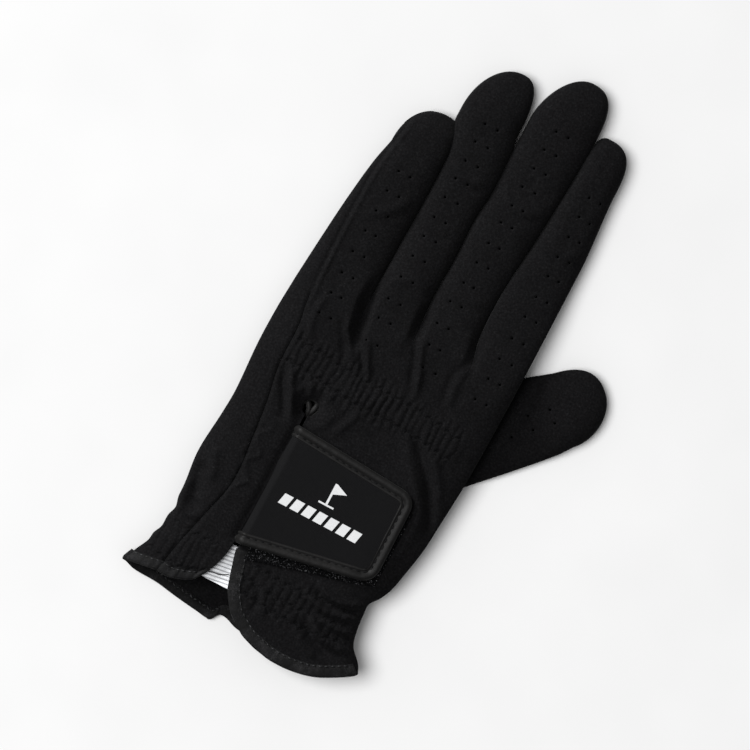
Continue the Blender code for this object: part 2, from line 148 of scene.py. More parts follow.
def along_line(x, y, points):
    """For each place: its signed distance from a polyline, and its share of the way along it.

    Places on the left of the way along have a positive distance.
    """
    best = np.full(x.shape, 1e9)
    signed = np.full(x.shape, 1e9)
    share = np.zeros(x.shape)
    lengths = [math.dist(a, b) for a, b in zip(points, points[1:])]
    gone = 0.0
    for a, b, length in zip(points, points[1:], lengths):
        dx, dy = (b[0] - a[0]) / length, (b[1] - a[1]) / length
        s = np.clip((x - a[0]) * dx + (y - a[1]) * dy, 0, length)
        ox, oy = x - a[0] - s * dx, y - a[1] - s * dy
        d = np.hypot(ox, oy)
        near = d < best
        best = np.where(near, d, best)
        signed = np.where(near, np.where(dx * oy - dy * ox >= 0, d, -d), signed)
        share = np.where(near, (gone + s) / sum(lengths), share)
        gone += length
    return signed, share


def rounded(points, steps=4):
    """More points along a polyline, on a smooth curve through the ones given."""
    points = np.asarray(points, float)
    t = np.arange(len(points))
    fine = np.linspace(0, len(points) - 1, (len(points) - 1) * steps + 1)
    return np.column_stack([curve(*zip(t, points[:, k]))(fine) for k in range(points.shape[1])])


def unit(vectors):
    return vectors / np.linalg.norm(vectors, axis=1, keepdims=True)


def direction(path):
    """The way along at each point of a path."""
    return unit(np.gradient(path, axis=0))


def leftward(run):
    """Turns directions in the plan a quarter turn to the left."""
    return np.column_stack([-run[:, 1], run[:, 0]])


def beside(path, distance):
    """Plan places beside a path, to the left of the way along it."""
    return path + leftward(direction(path)) * np.reshape(distance, (-1, 1))


def distance_along(points):
    return np.concatenate([[0], np.cumsum(np.linalg.norm(np.diff(points, axis=0), axis=1))])


def walk(points, pitch, start=0.0):
    """Evenly spaced places along a polyline of plan points (x, y) or (x, y, z)."""
    points = np.asarray(points, float)
    gone = distance_along(points)
    places = np.arange(start, gone[-1], pitch)
    return np.stack([np.interp(places, gone, points[:, k]) for k in range(points.shape[1])], axis=1)


def across(x, left, right):
    """Where x lies between two edges: -1 at the left one, 1 at the right one."""
    return np.clip((2 * x - left - right) / (right - left), -1, 1)


def columns(count, ends=0.35):
    """Places from -1 to 1, a little closer together at both ends."""
    even = np.linspace(-1, 1, count + 1)
    return mix(even, np.sin(even * math.pi / 2), ends)


def quarter(start, end, count):
    """Places from 0 to 1, or back, spaced as equal turns of a quarter circle are."""
    return np.sin(np.linspace(start, end, count) * math.pi / 2)


def plan_grid(x_span, y_span, rows, across):
    """x and y of an even grid of plan places."""
    return np.meshgrid(np.linspace(*x_span, across), np.linspace(*y_span, rows))


# ---- the plan: edges of the flattened glove -------------------------------------------------------

# Edges are curves of y that give x; hems and rows of stitches are curves across that give y.
LEFT_EDGE = curve((-109, -50.7), (-106, -51.3), (-101, -49.3), (-96, -46.9), (-92.5, -46.4), (-89, -44.9),
                  (-84, -44.7), (-80, -43.6), (-76, -44.5), (-71, -44.7), (-57, -46.1), (-40, -44.8),
                  (-30, -44.3), (-10, -45.3), (5, -45.2), (20, -44.3))
RIGHT_EDGE = curve((-104, 47.9), (-100, 45.9), (-95, 41.3), (-89, 39.6), (-82, 38.9), (-78, 38.9),
                   (-74, 41.7), (-69, 43.9), (-60, 45.9), (-50, 47.7), (-40, 48.5), (-20, 49.9), (0, 50.4),
                   (20, 50.6))
PINKY_EDGE = curve((20, -44.3), (40, -42.6), (56, -41), (72, -38.8), (82, -36.5))
SIDE_SEAM = curve((-106, -38.6), (-98, -37.2), (-90, -35.6), (-76, -32), (-64, -29), (-55, -28.6),
                  (-45, -29.6), (-28, -31.5), (-14, -34), (3, -34.4), (12, -35.8), (22, -36.7), (40, -37.3),
                  (67, -37.2), (78, -36), (88, -34.2))
SLIT_LEFT = curve((-104, -23.6), (-97, -21.8), (-92, -19.6), (-86, -18), (-78, -17.2), (-22, -16.3))
SLIT_RIGHT = curve((-108, -7.6), (-97, -11.2), (-89, -13.6), (-82, -15.2), (-26, -15.3))
HEM_LEFT = curve((0, -103.9), (0.3, -104.2), (0.6, -102.8), (0.82, -101.2), (0.94, -99.2), (1, -96.6))
HEM_FLAP = curve((0, -97.5), (0.03, -102.5), (0.054, -105.3), (0.119, -108.3), (0.216, -111.2),
                 (0.444, -113.9), (0.704, -112.1), (0.932, -105.9), (1, -103.2))
HEM_PALM = curve((0, -106.6), (0.04, -108.2), (0.14, -108.8), (0.235, -110.2), (0.33, -111.3),
                 (0.395, -111.7), (0.412, -108.9), (0.44, -108.3), (0.5, -110.2), (0.6, -110.5), (0.8, -108),
                 (1, -103.4))
SIDE_HEM = (-103.9, -106.2)             # the hem's y at the side seam and where it turns under the hand
FLAP_REACH = (-11.2, 8, 28, 47.6)       # x of the flap's sectors at its hem
THUMB_OPENING = ((21, -15), (5, 11))    # the opening in the palm: its middle and half sizes

GROOVES = (     # the valleys between the fingers, which run on down the hand to its hem
    curve((-26, -15.8), (-19, -15.8), (-14, -15.2), (-6, -12.8), (2, -11.8), (10, -12.6), (17, -13.8),
          (24, -15), (48, -14.9), (62, -14.5), (77, -14.4), (89, -14.8)),
    curve((-113, 8), (-60, 8), (0, 7), (20, 6.7), (38, 5.8), (53, 6.3), (70, 5.8), (81, 6.8), (100, 6.4),
          (112, 6.4)),
    curve((-113, 28), (-60, 30), (0, 31), (20, 30.6), (31, 28.7), (41, 28.2), (52, 28.4), (64, 29.3),
          (77, 30.4), (90, 31.3), (111, 32.5)),
)

FINGERS = ("pinky", "ring", "middle", "index")
WALLS = {       # each finger's side walls: -1 on its left, 1 on its right
    "pinky": {"side": 1}, "ring": {"left": -1, "right": 1}, "middle": {"left": -1, "right": 1},
    "index": {"side": -1}}


def pairs(left, right, ys):
    """Perforations two by two: the left and right hole of each pair follow curves of y."""
    return [(float(side(y)), y) for y in ys for side in (left, right)]


PERFORATIONS = (
    pairs(curve((11, -29.6), (40, -29.3), (72, -28.4)), curve((11, -24.9), (40, -24.5), (72, -23.5)),
          (72.5, 64, 55.5, 46.5, 37.5, 28.5, 20, 11))
    + pairs(curve((10, -9.3), (60, -8.4), (104, -7.7)), curve((10, -4.2), (60, -3.2), (104, -2.3)),
            (104, 96, 88, 80.3, 72, 63.5, 55.3, 46.7, 37.4, 28, 19.7, 10.4))
    + pairs(curve((11, 15), (28.7, 11.9), (56, 14.2), (114, 17.3)),
            curve((11, 20), (28.7, 16.4), (56, 19), (114, 22.6)),
            (113.7, 105.7, 97.6, 89.6, 81.3, 73.4, 64.5, 56, 46.8, 38, 28.7, 20, 11))
    + pairs(curve((10, 38.1), (46, 40), (98, 40.3)), curve((10, 42.9), (46, 44.8), (98, 45.4)),
            (97.6, 89.2, 80.8, 72.2, 63.8, 54.9, 46.2, 36.8, 27.7, 18.8, 9.8)))
THUMB_HOLES = ((65.2, 19.4), (69.3, 15.7), (58.9, 13.4), (63.2, 9.6), (57.4, 3.5))
DOME_START = {"pinky": 82, "ring": 106, "middle": 115, "index": 102}
TIP = {"pinky": (-22.5, 100.3), "ring": (-3.4, 127.8), "middle": (21.5, 137.2), "index": (37.6, 121.4)}
TIP_ROUNDING = {    # powers of the rounded corner on the left and right of each tip: higher is squarer
    "pinky": ((2.2, 2.1), (5.5, 3.0)), "ring": ((2.0, 2.0), (3.0, 2.4)),
    "middle": ((1.7, 1.9), (3.4, 2.6)), "index": ((4.0, 3.0), (3.3, 2.5))}
TOP_Z = (11.2, 14.8)        # the back's height at the left and right of the hand
SIDE_Z = (5.4, 10.6)        # where the back and palm meet at its sides
FLAT_SHARE = 0.58           # share of the hand's half width before its back turns down
THUMB_LIFT = 6.6            # height of the palm where it lies over the thumb
FINGER_TOP_Z = 10.2
OUTER_SEAM = {0: 0.5, 3: 0.62}      # the outer fingers' seams, as a share of the height
WALL_LOW, WALL_HIGH = 0.30, 0.60    # both seams of a side wall, as shares of the height
GROOVE_START = ((0, 18), (13, 17), (11, 19))    # y where each groove begins and over how far it deepens
CUFF_LIFT = 1.0             # height of the palm's hem over the floor

THUMB_PIVOT = (40, -7.7)
THUMB_ANGLE = math.radians(43)
THUMB_START, THUMB_DOME = -24, 42       # along the thumb: its hidden end, and where its tip starts to close
THUMB_NEAR = curve((-24, -16), (-6, -17), (22, -17), (30, -17), (42, -15.9))    # edges: across at an along
THUMB_FAR = curve((-24, 14), (-6, 17.3), (4, 17), (21, 16), (35, 14.8), (42, 13.4))
THUMB_TIP = (-2.5, 59.2)                # across, along
THUMB_ROUNDING = ((2.8, 2.4), (1.8, 1.85))
THUMB_Z = (6.1, 7.8)                    # its height along it and at its tip
THUMB_SEAM = {"back": 0.66, "palm": 0.3}    # its wall's seams, as shares of the height


def finger_gap(y):
    return 0.1 * smooth((y - 21) / 10)


def finger_edges(i, y):
    """Left and right edges of finger i, or of its sector of the hand below the knuckles."""
    name = FINGERS[i]
    y = np.minimum(y, DOME_START[name])
    left = LEFT_EDGE(y) if i == 0 else GROOVES[i - 1](y) + finger_gap(y) / 2
    right = RIGHT_EDGE(y) if i == 3 else GROOVES[i](y) - finger_gap(y) / 2
    if i == 0:
        left = np.where(y > 20, PINKY_EDGE(y), left)
    if i == 1:
        left = left - 3.9 * smooth((y - 86) / 16)
        right = right - 1.3 * smooth((y - 99) / 8)
    if i == 3:
        right = right - 2.0 * smooth((y - 70) / 36)
    return left, right


def turn_down(u, flat=FLAT_SHARE, power=2.0):
    """1 over the middle of a curved back, falling to 0 at both sides."""
    e = np.clip((np.abs(u) - flat) / (1 - flat), 0, 1)
    return np.sqrt(np.clip(1 - e ** power, 0, 1))


def lift(x, y):
    """Height of the hand's underside where it lies over the thumb."""
    return THUMB_LIFT * smooth((x - 13) / 13) * smooth((y + 56) / 22) * (1 - smooth((y - 40) / 35))


def dome(t, power=2.4, root=2.2):
    """1 where a tip starts to close, falling to 0 at its end."""
    return np.clip(1 - np.clip(t, 0, 1) ** power, 0, 1) ** (1 / root)


# ---- the glove's back as a height over the plan ---------------------------------------------------

def arch(u):
    """The same over a finger's crown, which is rounder."""
    return turn_down(u, flat=0.12, power=2.2)


def crown(x, y):
    """Height of the back before its sides and grooves fall away."""
    hand = mix(*TOP_Z, (across(x, LEFT_EDGE(y), RIGHT_EDGE(y)) + 1) / 2)
    return mix(hand, FINGER_TOP_Z, smooth((y - 12) / 58))


def floor_under(i, x, y):
    """Height of the underside, which is one surface in the hand and level across each finger."""
    left, right = finger_edges(i, y)
    return mix(lift(x, y), lift((left + right) / 2, y), smooth((y - JOIN_Y) / 20))


def finger_share(y):
    """0 in the hand, 1 where the fingers are quite apart from it."""
    return smooth((y + 5) / 35)


def hand_side(x, y):
    """Height of the hand's side seams, and how far the cloth has turned towards them."""
    share = across(x, LEFT_EDGE(y), RIGHT_EDGE(y))
    return mix(*SIDE_Z, (share + 1) / 2), 1 - turn_down(share)


def section(i, x, y, u, wall):
    """What the back and underside of sector i have in common.

    Returns the share across the sector, the heights over and under it, where it is an outer side of the
    hand, and the height of its seam, which in between the fingers is a wall's.
    """
    if u is None:
        u = across(x, *finger_edges(i, y))
    top = crown(x, y)
    floor = floor_under(i, x, y)
    outer = (u < 0) if i == 0 else (u > 0) if i == 3 else np.zeros(u.shape, bool)
    seam = floor + (top - floor) * np.where(outer, OUTER_SEAM.get(i, wall), wall)
    return u, top, floor, outer, seam


def back_base(i, x, y, u=None):
    """The smooth back over sector i: hand at the knuckles and below, finger above them."""
    u, top, floor, outer, seam = section(i, x, y, u, WALL_HIGH)
    side, turned = hand_side(x, y)
    finger = finger_share(y)
    starts = [smooth((y - start) / run) for start, run in GROOVE_START]
    groove = np.where(u < 0, starts[max(i - 1, 0)], starts[min(i, 2)])
    strength = np.where(outer, finger, groove)
    hand_fall = (top - side) * turned * (1 - finger)
    valley = mix(smooth((1 - np.abs(u)) / 0.36), arch(u), smooth((y - 20) / 16))
    finger_fall = (top - seam) * (1 - np.where(outer, arch(u), valley)) * strength
    return top - hand_fall - finger_fall


def bottom_base(i, x, y, u=None):
    """The underside over sector i, from the middle out to the side seams."""
    u, top, floor, outer, seam = section(i, x, y, u, WALL_LOW)
    side, turned = hand_side(x, y)
    finger = finger_share(y)
    strength = np.where(outer, finger, smooth((y - JOIN_Y) / 14))
    cuff = CUFF_LIFT * smooth((-94 - y) / 8)
    hand_rise = (side - floor) * turned * (1 - finger)
    finger_rise = (seam - floor) * (1 - arch(u)) * strength
    sag = 0.12 * (1 + noise(x, y, 9, 5)) * (1 - finger)
    return floor + cuff + hand_rise + finger_rise + sag


def over_sectors(height, x, y):
    """Heights of back_base or bottom_base, each read in the sector where its place lies."""
    index = sum(x > groove(y) for groove in GROOVES)
    z = np.zeros(x.shape)
    for i in range(len(FINGERS)):
        here = index == i
        if here.any():
            z[here] = height(i, x[here], y[here])
    return z


def underside(x, y):
    return over_sectors(bottom_base, x, y)


def ridge(x, y, points, width, height, valley=0.0):
    """A fold along a line: a rounded ridge that fades at both ends, with a valley on its right."""
    signed, share = along_line(x, y, rounded(points))
    fade = smooth(share / 0.25) * smooth((1 - share) / 0.25)
    fold = np.exp(-(signed / width) ** 2) - valley * np.exp(-((signed + 1.7 * width) / width) ** 2)
    return height * fade * fold


def zigzag(x):
    """The sewing machine's swing to and fro across a row, in mm."""
    return ZIGZAG * (2 * np.abs(2 * (x / ZIGZAG_PITCH % 1) - 1) - 1)


def gathers(x, y, rows, span, pitch, height, seed):
    """Cloth drawn up by elastic: pleats between zigzag rows of stitches, curves given from the top down."""
    rows = [row(x) for row in rows]
    wander = 0.34 * noise(x, y * 0.25, 6.5, seed) + 0.22 * noise(x, y * 0.7, 3.6, seed + 1)
    pleat = np.abs(np.sin(math.pi * (x / pitch + wander))) ** 0.75 - 0.6
    spill = 3.4 + 1.6 * noise(x, 0 * y, 4, seed + 2)
    above = np.maximum(y - rows[0], 0) / spill
    below = np.maximum(rows[-1] - y, 0) / spill
    rise = pleat * np.exp(-above ** 2 - below ** 2)
    strength = 0.8 + 0.4 * noise(x, y * 0.8, 4.5, seed + 3)
    sewn = sum(np.exp(-((y - row - zigzag(x)) / 0.5) ** 2) for row in rows)
    inside = smooth((rows[0] - y) / 1.5) * smooth((y - rows[-1]) / 1.5)
    along = smooth((x - span[0]) / 3) * smooth((span[1] - x) / 5)
    return along * (height * strength * rise * (1 - 0.75 * sewn) - 0.55 * sewn + 0.25 * inside)


BAND_TOP = curve((-34, -1.4), (-18, -2.8), (-5, -3.6), (18, -4.2), (30, -5.4), (42, -7.2))
BAND_LOW = curve((-34, -10.4), (-18, -11.4), (-5, -13), (18, -13.4), (30, -14.2), (42, -15.6))
FLAP_TOP = curve((-6, -85.6), (10, -86), (25, -84.6), (39, -83.4))
FLAP_MIDDLE = curve((-6, -91), (10, -92.4), (25, -91), (39, -89.2))
FLAP_LOW = curve((-6, -96.5), (10, -97.8), (25, -97.4), (39, -95))
WRIST_TOP = curve((-46, -84), (-33, -85.4), (-19, -84.4))
WRIST_LOW = curve((-48, -97), (-33, -99.4), (-21, -95.4))

FOLD_STRENGTH = 1.7         # scales the heights below
FOLD_REACH = 9              # a fold isn't felt farther than this from its points
FOLDS = (       # (points, half width, height, valley)
    (((-20, 16), (-14, 6), (-8.6, -2)), 1.5, 0.55, 0.7),
    (((-9.3, 12), (-5.5, 5), (-1.6, -2.8)), 1.3, 0.55, 0.7),
    (((-12, 14), (-8, 7), (-3, 0), (0, -4)), 1.0, 0.35, 0.5),
    (((9, 22), (13, 12), (17, 0)), 1.4, 0.55, 0.8),
    (((14.3, 12), (18, -2.8)), 1.1, 0.35, 0.5),
    (((32, 22), (29, 12), (31, 0)), 1.6, 0.4, 0.6),
    (((-30, 20), (-31, 8), (-27, -2)), 1.5, 0.35, 0.4),
    (((-29, -10), (-27.8, -15.5), (-22, -26), (-19.5, -31)), 1.7, 1.0, 0.8),
    (((-22, -11), (-19, -16), (-17.5, -20)), 1.2, 0.45, 0.5),
    (((-10, -12), (-11.5, -17), (-10, -27)), 1.5, 0.4, 0.5),
    (((2, -13), (0, -20), (-4, -29)), 1.6, 0.4, 0.5),
    (((22, -9), (25, -14), (34, -23.4), (40, -31), (45, -41), (46, -50)), 2.0, -1.1, 0.0),
    (((22, -15), (25, -21), (31.6, -28.4), (39.6, -38.6), (42, -50)), 1.8, 0.5, 0.0),
    (((32, -14), (40, -24), (45.5, -34)), 1.8, 0.45, 0.0),
    (((38, -36), (40.5, -50), (38.5, -64)), 1.8, 0.35, 0.4),
    (((16, -79), (27, -82.5), (38.6, -79.5)), 1.5, 0.9, 0.9),
    (((14, -84), (23, -87.5), (33, -86.5), (39, -84)), 1.4, 0.7, 0.8),
    (((24, -90), (32, -92), (41, -90)), 1.2, 0.6, 0.8),
    (((20, -91), (29, -97), (42, -98.5)), 1.6, 0.8, 0.8),
    (((15, -93), (20.5, -96.8), (25.6, -99.9), (33.5, -102.3), (38, -103)), 1.8, -0.7, 0.0),
    (((19, -99), (24, -103), (31, -105.5)), 1.6, 0.35, 0.0),
    (((-2, -88), (3, -95), (4, -103)), 1.5, 0.45, 0.6),
    (((-42.5, -58), (-41.3, -64), (-39.2, -71), (-37, -79)), 2.6, -1.25, 0.0),
    (((-45, -68), (-43.3, -75), (-41, -82)), 1.8, 0.6, 0.0),
    (((-41, -51), (-38.5, -58), (-36, -66)), 2.3, 0.7, 0.0),
    (((-46, -68), (-40, -72), (-33, -73)), 1.8, 0.5, 0.6),
    (((-45, -78), (-39, -80), (-33, -79)), 1.4, 0.4, 0.6),
    (((-29, -30), (-24.6, -36), (-28.8, -41.5), (-24.4, -47), (-28.4, -52), (-24, -58), (-28.6, -64),
      (-24.6, -70)), 1.1, 0.24, 0.6),
    (((-33, 52), (-25, 57), (-18, 66)), 2.0, 0.28, 0.4),
    (((-14, 64), (-7, 60), (1, 60)), 1.9, 0.25, 0.5),
    (((-13, 86), (-5, 82), (4, 83)), 1.8, 0.3, 0.5),
    (((8, 86), (18, 80.5), (29, 84)), 1.9, 0.28, 0.5),
    (((-14, 34), (-4, 38), (5, 36)), 2.0, 0.26, 0.4),
    (((8, 47), (18, 42), (29, 45)), 2.0, 0.24, 0.4),
    (((33, 79), (42, 74), (50, 78)), 1.9, 0.24, 0.4),
)


def folds(x, y):
    rise = np.zeros(x.shape)
    for points, width, height, valley in FOLDS:
        low = np.min(points, axis=0) - FOLD_REACH
        high = np.max(points, axis=0) + FOLD_REACH
        near = (x > low[0]) & (x < high[0]) & (y > low[1]) & (y < high[1])
        if near.any():
            rise[near] += FOLD_STRENGTH * ridge(x[near], y[near], points, width, height, valley)
    return rise


def side_seam_relief(x, y):
    """The side seam's groove, and above the knuckles the welt beside it."""
    seam = np.exp(-((x - SIDE_SEAM(y)) / 0.8) ** 2) * smooth((96 - y) / 8)
    beyond = np.exp(-((x - SIDE_SEAM(y) - 1.5) / 0.9) ** 2) * smooth((96 - y) / 8)
    return 0.45 * beyond * smooth((y - 5) / 20) - 0.6 * seam


def keyhole_dish(x, y):
    """The keyhole's dip, with a soft swell round it."""
    away = np.hypot(x - KEYHOLE[0], y - KEYHOLE[1])
    return 0.45 * np.exp(-((away - 8) / 1.7) ** 2) - 3.3 * np.exp(-(away / 4.6) ** 2)


def under_tab(x, y):
    """How far the slit's edges turn in under the tab's root."""
    over_tab = smooth((-27 - y) / 5) * smooth((y + 83) / 5)
    under_root = 2.4 * np.exp(-((x - KEYHOLE[0]) / 4.5) ** 2)
    rolled_edge = 1.3 * np.exp(-((x - SLIT_LEFT(y)) / 2.4) ** 2)
    return np.where(x > KEYHOLE[0], under_root, rolled_edge) * over_tab


def relief(x, y):
    """What the cloth does on top of its smooth shape, in mm."""
    rise = 0.5 * noise(x, y, 15, 1) + 0.16 * noise(x, y, 6.5, 2) + 0.05 * noise(x, y, 2.6, 3)
    rise += gathers(x, y, (BAND_TOP, BAND_LOW), (-35, 44), 2.9, 0.75, 10)
    rise += gathers(x, y, (FLAP_TOP, FLAP_MIDDLE, FLAP_LOW), (-11, 41), 3.5, 0.56, 20)
    rise += gathers(x, y, (WRIST_TOP, WRIST_LOW), (-50, -20), 3.1, 0.45, 40)
    return rise + folds(x, y) + side_seam_relief(x, y) + keyhole_dish(x, y) - under_tab(x, y)


def surface(x, y):
    """Height of the back's outside at places of the plan short of the fingertips."""
    return over_sectors(back_base, x, y) + relief(x, y)


def back_height(i, x, y, u=None):
    """Height of the back's outside over sector i."""
    return back_base(i, x, y, u) + relief(x, y)


def on_surface(points):
    """Plan places (x, y) with the height of the back there."""
    return np.column_stack([points, surface(points[:, 0], points[:, 1])])


# ---- making objects -------------------------------------------------------------------------------

def new_object(name, places, faces, look):
    """A smooth-shaded mesh piece from places in metres."""
    mesh = bpy.data.meshes.new(name)
    mesh.from_pydata(np.reshape(places, (-1, 3)).tolist(), [], faces)
    mesh.materials.append(look)
    mesh.shade_smooth()
    piece = bpy.data.objects.new(name, mesh)
    bpy.context.scene.collection.objects.link(piece)
    return piece


def on_hand(piece, *nodes, slot=None):
    """The piece moves with the hand, in place of CAD nodes, which it hides; slot is not used."""
    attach(piece, "hand")
    if nodes:
        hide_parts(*nodes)


def quads(rows, columns, closed=False):
    """Faces of a grid of points, row by row."""
    index = np.arange(rows * columns).reshape(rows, columns)
    if closed:
        index = np.concatenate([index, index[:, :1]], axis=1)
    corners = (index[:-1, :-1], index[:-1, 1:], index[1:, 1:], index[1:, :-1])
    return np.stack([c.ravel() for c in corners], axis=1)


def punch(grid, holes):
    """Perforations: the points round the nearest grid point move to an octagon, whose faces are left out.

    Returns the grid's cells to leave out, as a mask.
    """
    rows, count = grid.shape[:2]
    left_out = np.zeros((rows - 1, count - 1), bool)
    ring = ((-1, -1), (-1, 0), (-1, 1), (0, 1), (1, 1), (1, 0), (1, -1), (0, -1))
    for x, y in holes:
        distance = np.hypot(grid[..., 0] - x, grid[..., 1] - y)
        r, c = np.unravel_index(distance.argmin(), distance.shape)
        if distance[r, c] > 1.5 or not (1 < r < rows - 2 and 1 < c < count - 2):
            continue
        centre = grid[r, c].copy()
        for dr, dc in ring:
            side = grid[r + dr, c + dc]
            away = side[:2] - centre[:2]
            side[:2] = centre[:2] + away / np.linalg.norm(away) * HOLE_R
            side[2] -= HOLE_DIP
        left_out[r - 1:r + 1, c - 1:c + 1] = True
    return left_out


def panel(name, grid, look, thickness=CLOTH, left_out=None, upside_down=False, welded=False):
    """A sheet of cloth through a grid of plan points in mm, with its thickness inwards."""
    faces = quads(*grid.shape[:2])
    if left_out is not None:
        faces = faces[~left_out.ravel()]
    if upside_down:
        faces = faces[:, ::-1]
    piece = new_object(name, metres(grid), faces.tolist(), look)
    edit(piece.data, drop_loose_points)
    if welded:
        edit(piece.data, weld)
    thicken(piece, thickness)
    return piece


def edit(mesh, change):
    """Runs a change on a mesh in its editable form."""
    bm = bmesh.new()
    bm.from_mesh(mesh)
    change(bm)
    bm.to_mesh(mesh)
    bm.free()


def drop_loose_points(bm):
    bmesh.ops.delete(bm, geom=[v for v in bm.verts if not v.link_faces], context="VERTS")


def weld(bm):
    bmesh.ops.remove_doubles(bm, verts=bm.verts, dist=WELD_GAP * MM)


def face_outward(bm):
    bmesh.ops.recalc_face_normals(bm, faces=bm.faces)


def thicken(piece, thickness):
    """Gives a sheet its thickness, on the side away from its normals."""
    shell = piece.modifiers.new("thickness", "SOLIDIFY")
    shell.thickness = thickness * MM
    shell.offset = -1
    apply_modifiers(piece)


def apply_modifiers(piece):
    bpy.context.view_layer.update()
    shape = piece.evaluated_get(bpy.context.evaluated_depsgraph_get())
    mesh = bpy.data.meshes.new_from_object(shape)
    old = piece.data
    piece.modifiers.clear()
    piece.data = mesh
    bpy.data.meshes.remove(old)
    mesh.shade_smooth()


def solid_strip(name, grid, look):
    """A closed section carried along a path, one row of plan points for each place, capped at both ends."""
    rows, count = grid.shape[:2]
    faces = quads(rows, count, closed=True).tolist()
    faces.append(list(range(count)))
    faces.append(list(range((rows - 1) * count, rows * count))[::-1])
    piece = new_object(name, metres(grid), faces, look)
    edit(piece.data, face_outward)
    return piece


def sweep(name, path, section, look):
    """A solid strip along plan points; its section is given as (right, up) in mm."""
    run = direction(path)
    right = unit(np.cross(run, (0.0, 0.0, 1.0)))
    up = np.cross(right, run)
    section = np.array(section)
    grid = path[:, None] + right[:, None] * section[:, :1] + up[:, None] * section[:, 1:]
    return solid_strip(name, grid, look)


def stitches(name, lines, look, pitch, radius, length=1.6, on=None, rise=0.0, slant=0.0):
    """Sewing thread along plan lines: each stitch is a short bowed tube that dips into the cloth at its ends.

    The height comes from the lines, or from the surface they lie on; slant turns them to and fro.
    """
    bow = np.array([-0.22, 0.06, 0.14, 0.06, -0.22])
    swell = radius * np.array([0.5, 1, 1, 1, 0.5])[:, None]
    along = np.linspace(-0.5, 0.5, len(bow))[:, None] * length
    angles = np.linspace(0, 2 * math.pi, 6, endpoint=False)
    cells = quads(len(bow), len(angles), closed=True)
    tubes = []
    for line in lines:
        centres = walk(line, pitch, pitch / 2)
        run = direction(centres[:, :2])
        to_and_fro = np.where(np.arange(len(centres)) % 2, 1.0, -1.0)[:, None]
        run = unit(run + leftward(run) * to_and_fro * slant)
        for centre, ahead, side in zip(centres, run, leftward(run)):
            plan = centre[:2] + ahead * along
            height = centre[2] if on is None else on(plan[:, 0], plan[:, 1])
            core = np.column_stack([plan, height + rise + bow])
            ring = [core + np.array([*(side * math.cos(a)), math.sin(a)]) * swell for a in angles]
            tubes.append(np.stack(ring, axis=1))
    faces = [cells + k * len(bow) * len(angles) for k in range(len(tubes))]
    return new_object(name, metres(tubes), np.concatenate(faces).tolist(), look)


# ---- the hand -------------------------------------------------------------------------------------

def slit_edges(y):
    """The slit's two edges, with the round keyhole at its top."""
    chord = np.sqrt(np.clip(KEYHOLE_R ** 2 - (y - KEYHOLE[1]) ** 2, 0, None))
    open_slit = y < KEYHOLE[1]
    left = np.where(open_slit, np.minimum(SLIT_LEFT(y), KEYHOLE[0] - chord), KEYHOLE[0] - chord)
    right = np.where(open_slit, np.maximum(SLIT_RIGHT(y), KEYHOLE[0] + chord), KEYHOLE[0] + chord)
    return left, right


def hand_sector(i, y):
    """Grid points of sector i of the hand's back, one row for each row of y."""
    left, right = finger_edges(i, y)
    slit = y < KEYHOLE[1] + KEYHOLE_R
    if i == 0:
        left = SIDE_SEAM(y)
        right = np.where(slit, slit_edges(y)[0], right)
    if i == 1:
        left = np.where(slit, slit_edges(y)[1], left)
    x = mix(left, right, (columns(COLUMNS) + 1) / 2)
    return np.stack([x, y, back_height(i, x, y)], axis=-1)


def row_places(hem):
    """y of the hand's rows for each column: evenly up from its hem to the keyhole's top, then level."""
    key_top = KEYHOLE[1] + KEYHOLE_R
    low = mix(hem[None, :], key_top, np.linspace(0, 1, 210)[:-1, None])
    high = np.linspace(key_top, JOIN_Y, 80)[:, None] * np.ones(len(hem))
    return np.concatenate([low, high])


def hand_back():
    """The back of the hand: two fronts that part along the slit, joined above its keyhole."""
    share = (columns(COLUMNS) + 1) / 2
    parts = [hand_sector(0, row_places(HEM_LEFT(share)))]
    for i in (1, 2, 3):
        x = mix(FLAP_REACH[i - 1], FLAP_REACH[i], share)
        y = row_places(HEM_FLAP((x - FLAP_REACH[0]) / (FLAP_REACH[3] - FLAP_REACH[0])))
        part = hand_sector(i, y)
        parts.append(part if i == 1 else part[:, 1:])
    grid = np.concatenate(parts, axis=1)
    left_out = punch(grid, PERFORATIONS)
    left_out[:, COLUMNS] = True
    piece = panel("hand_back", grid, SUEDE, left_out=left_out, welded=True)
    on_hand(piece, "back_panel", slot="suede")
    return piece


def hand_palm():
    """The palm, which wraps round the little finger's side and over the back to the side seam."""
    wrap = quarter(0, 1, 40)
    bottom = (columns(110, 0.8)[1:] + 1) / 2
    hem = np.concatenate([mix(*SIDE_HEM, wrap), HEM_PALM(bottom)])
    y = mix(hem[None, :], JOIN_Y, np.linspace(0, 1, 250)[:, None])
    y_wrap, y_bottom = y[:, :len(wrap)], y[:, len(wrap):]
    x_wrap = mix(SIDE_SEAM(y_wrap), LEFT_EDGE(y_wrap), wrap)
    x_bottom = mix(LEFT_EDGE(y_bottom), RIGHT_EDGE(y_bottom), bottom)
    top_part = np.stack([x_wrap, y_wrap, back_height(0, x_wrap, y_wrap)], axis=-1)
    low_part = np.stack([x_bottom, y_bottom, underside(x_bottom, y_bottom)], axis=-1)
    grid = np.concatenate([top_part, low_part], axis=1)
    middle, half = THUMB_OPENING
    hole = (((grid[..., :2] - middle) / half) ** 2).sum(axis=-1) < 1
    hole &= np.arange(grid.shape[1]) > len(wrap)
    piece = panel("hand_palm", grid, SUEDE, left_out=hole[:-1, :-1], upside_down=True)
    on_hand(piece, "palm_panel", slot="suede")
    return piece


# ---- fingers --------------------------------------------------------------------------------------

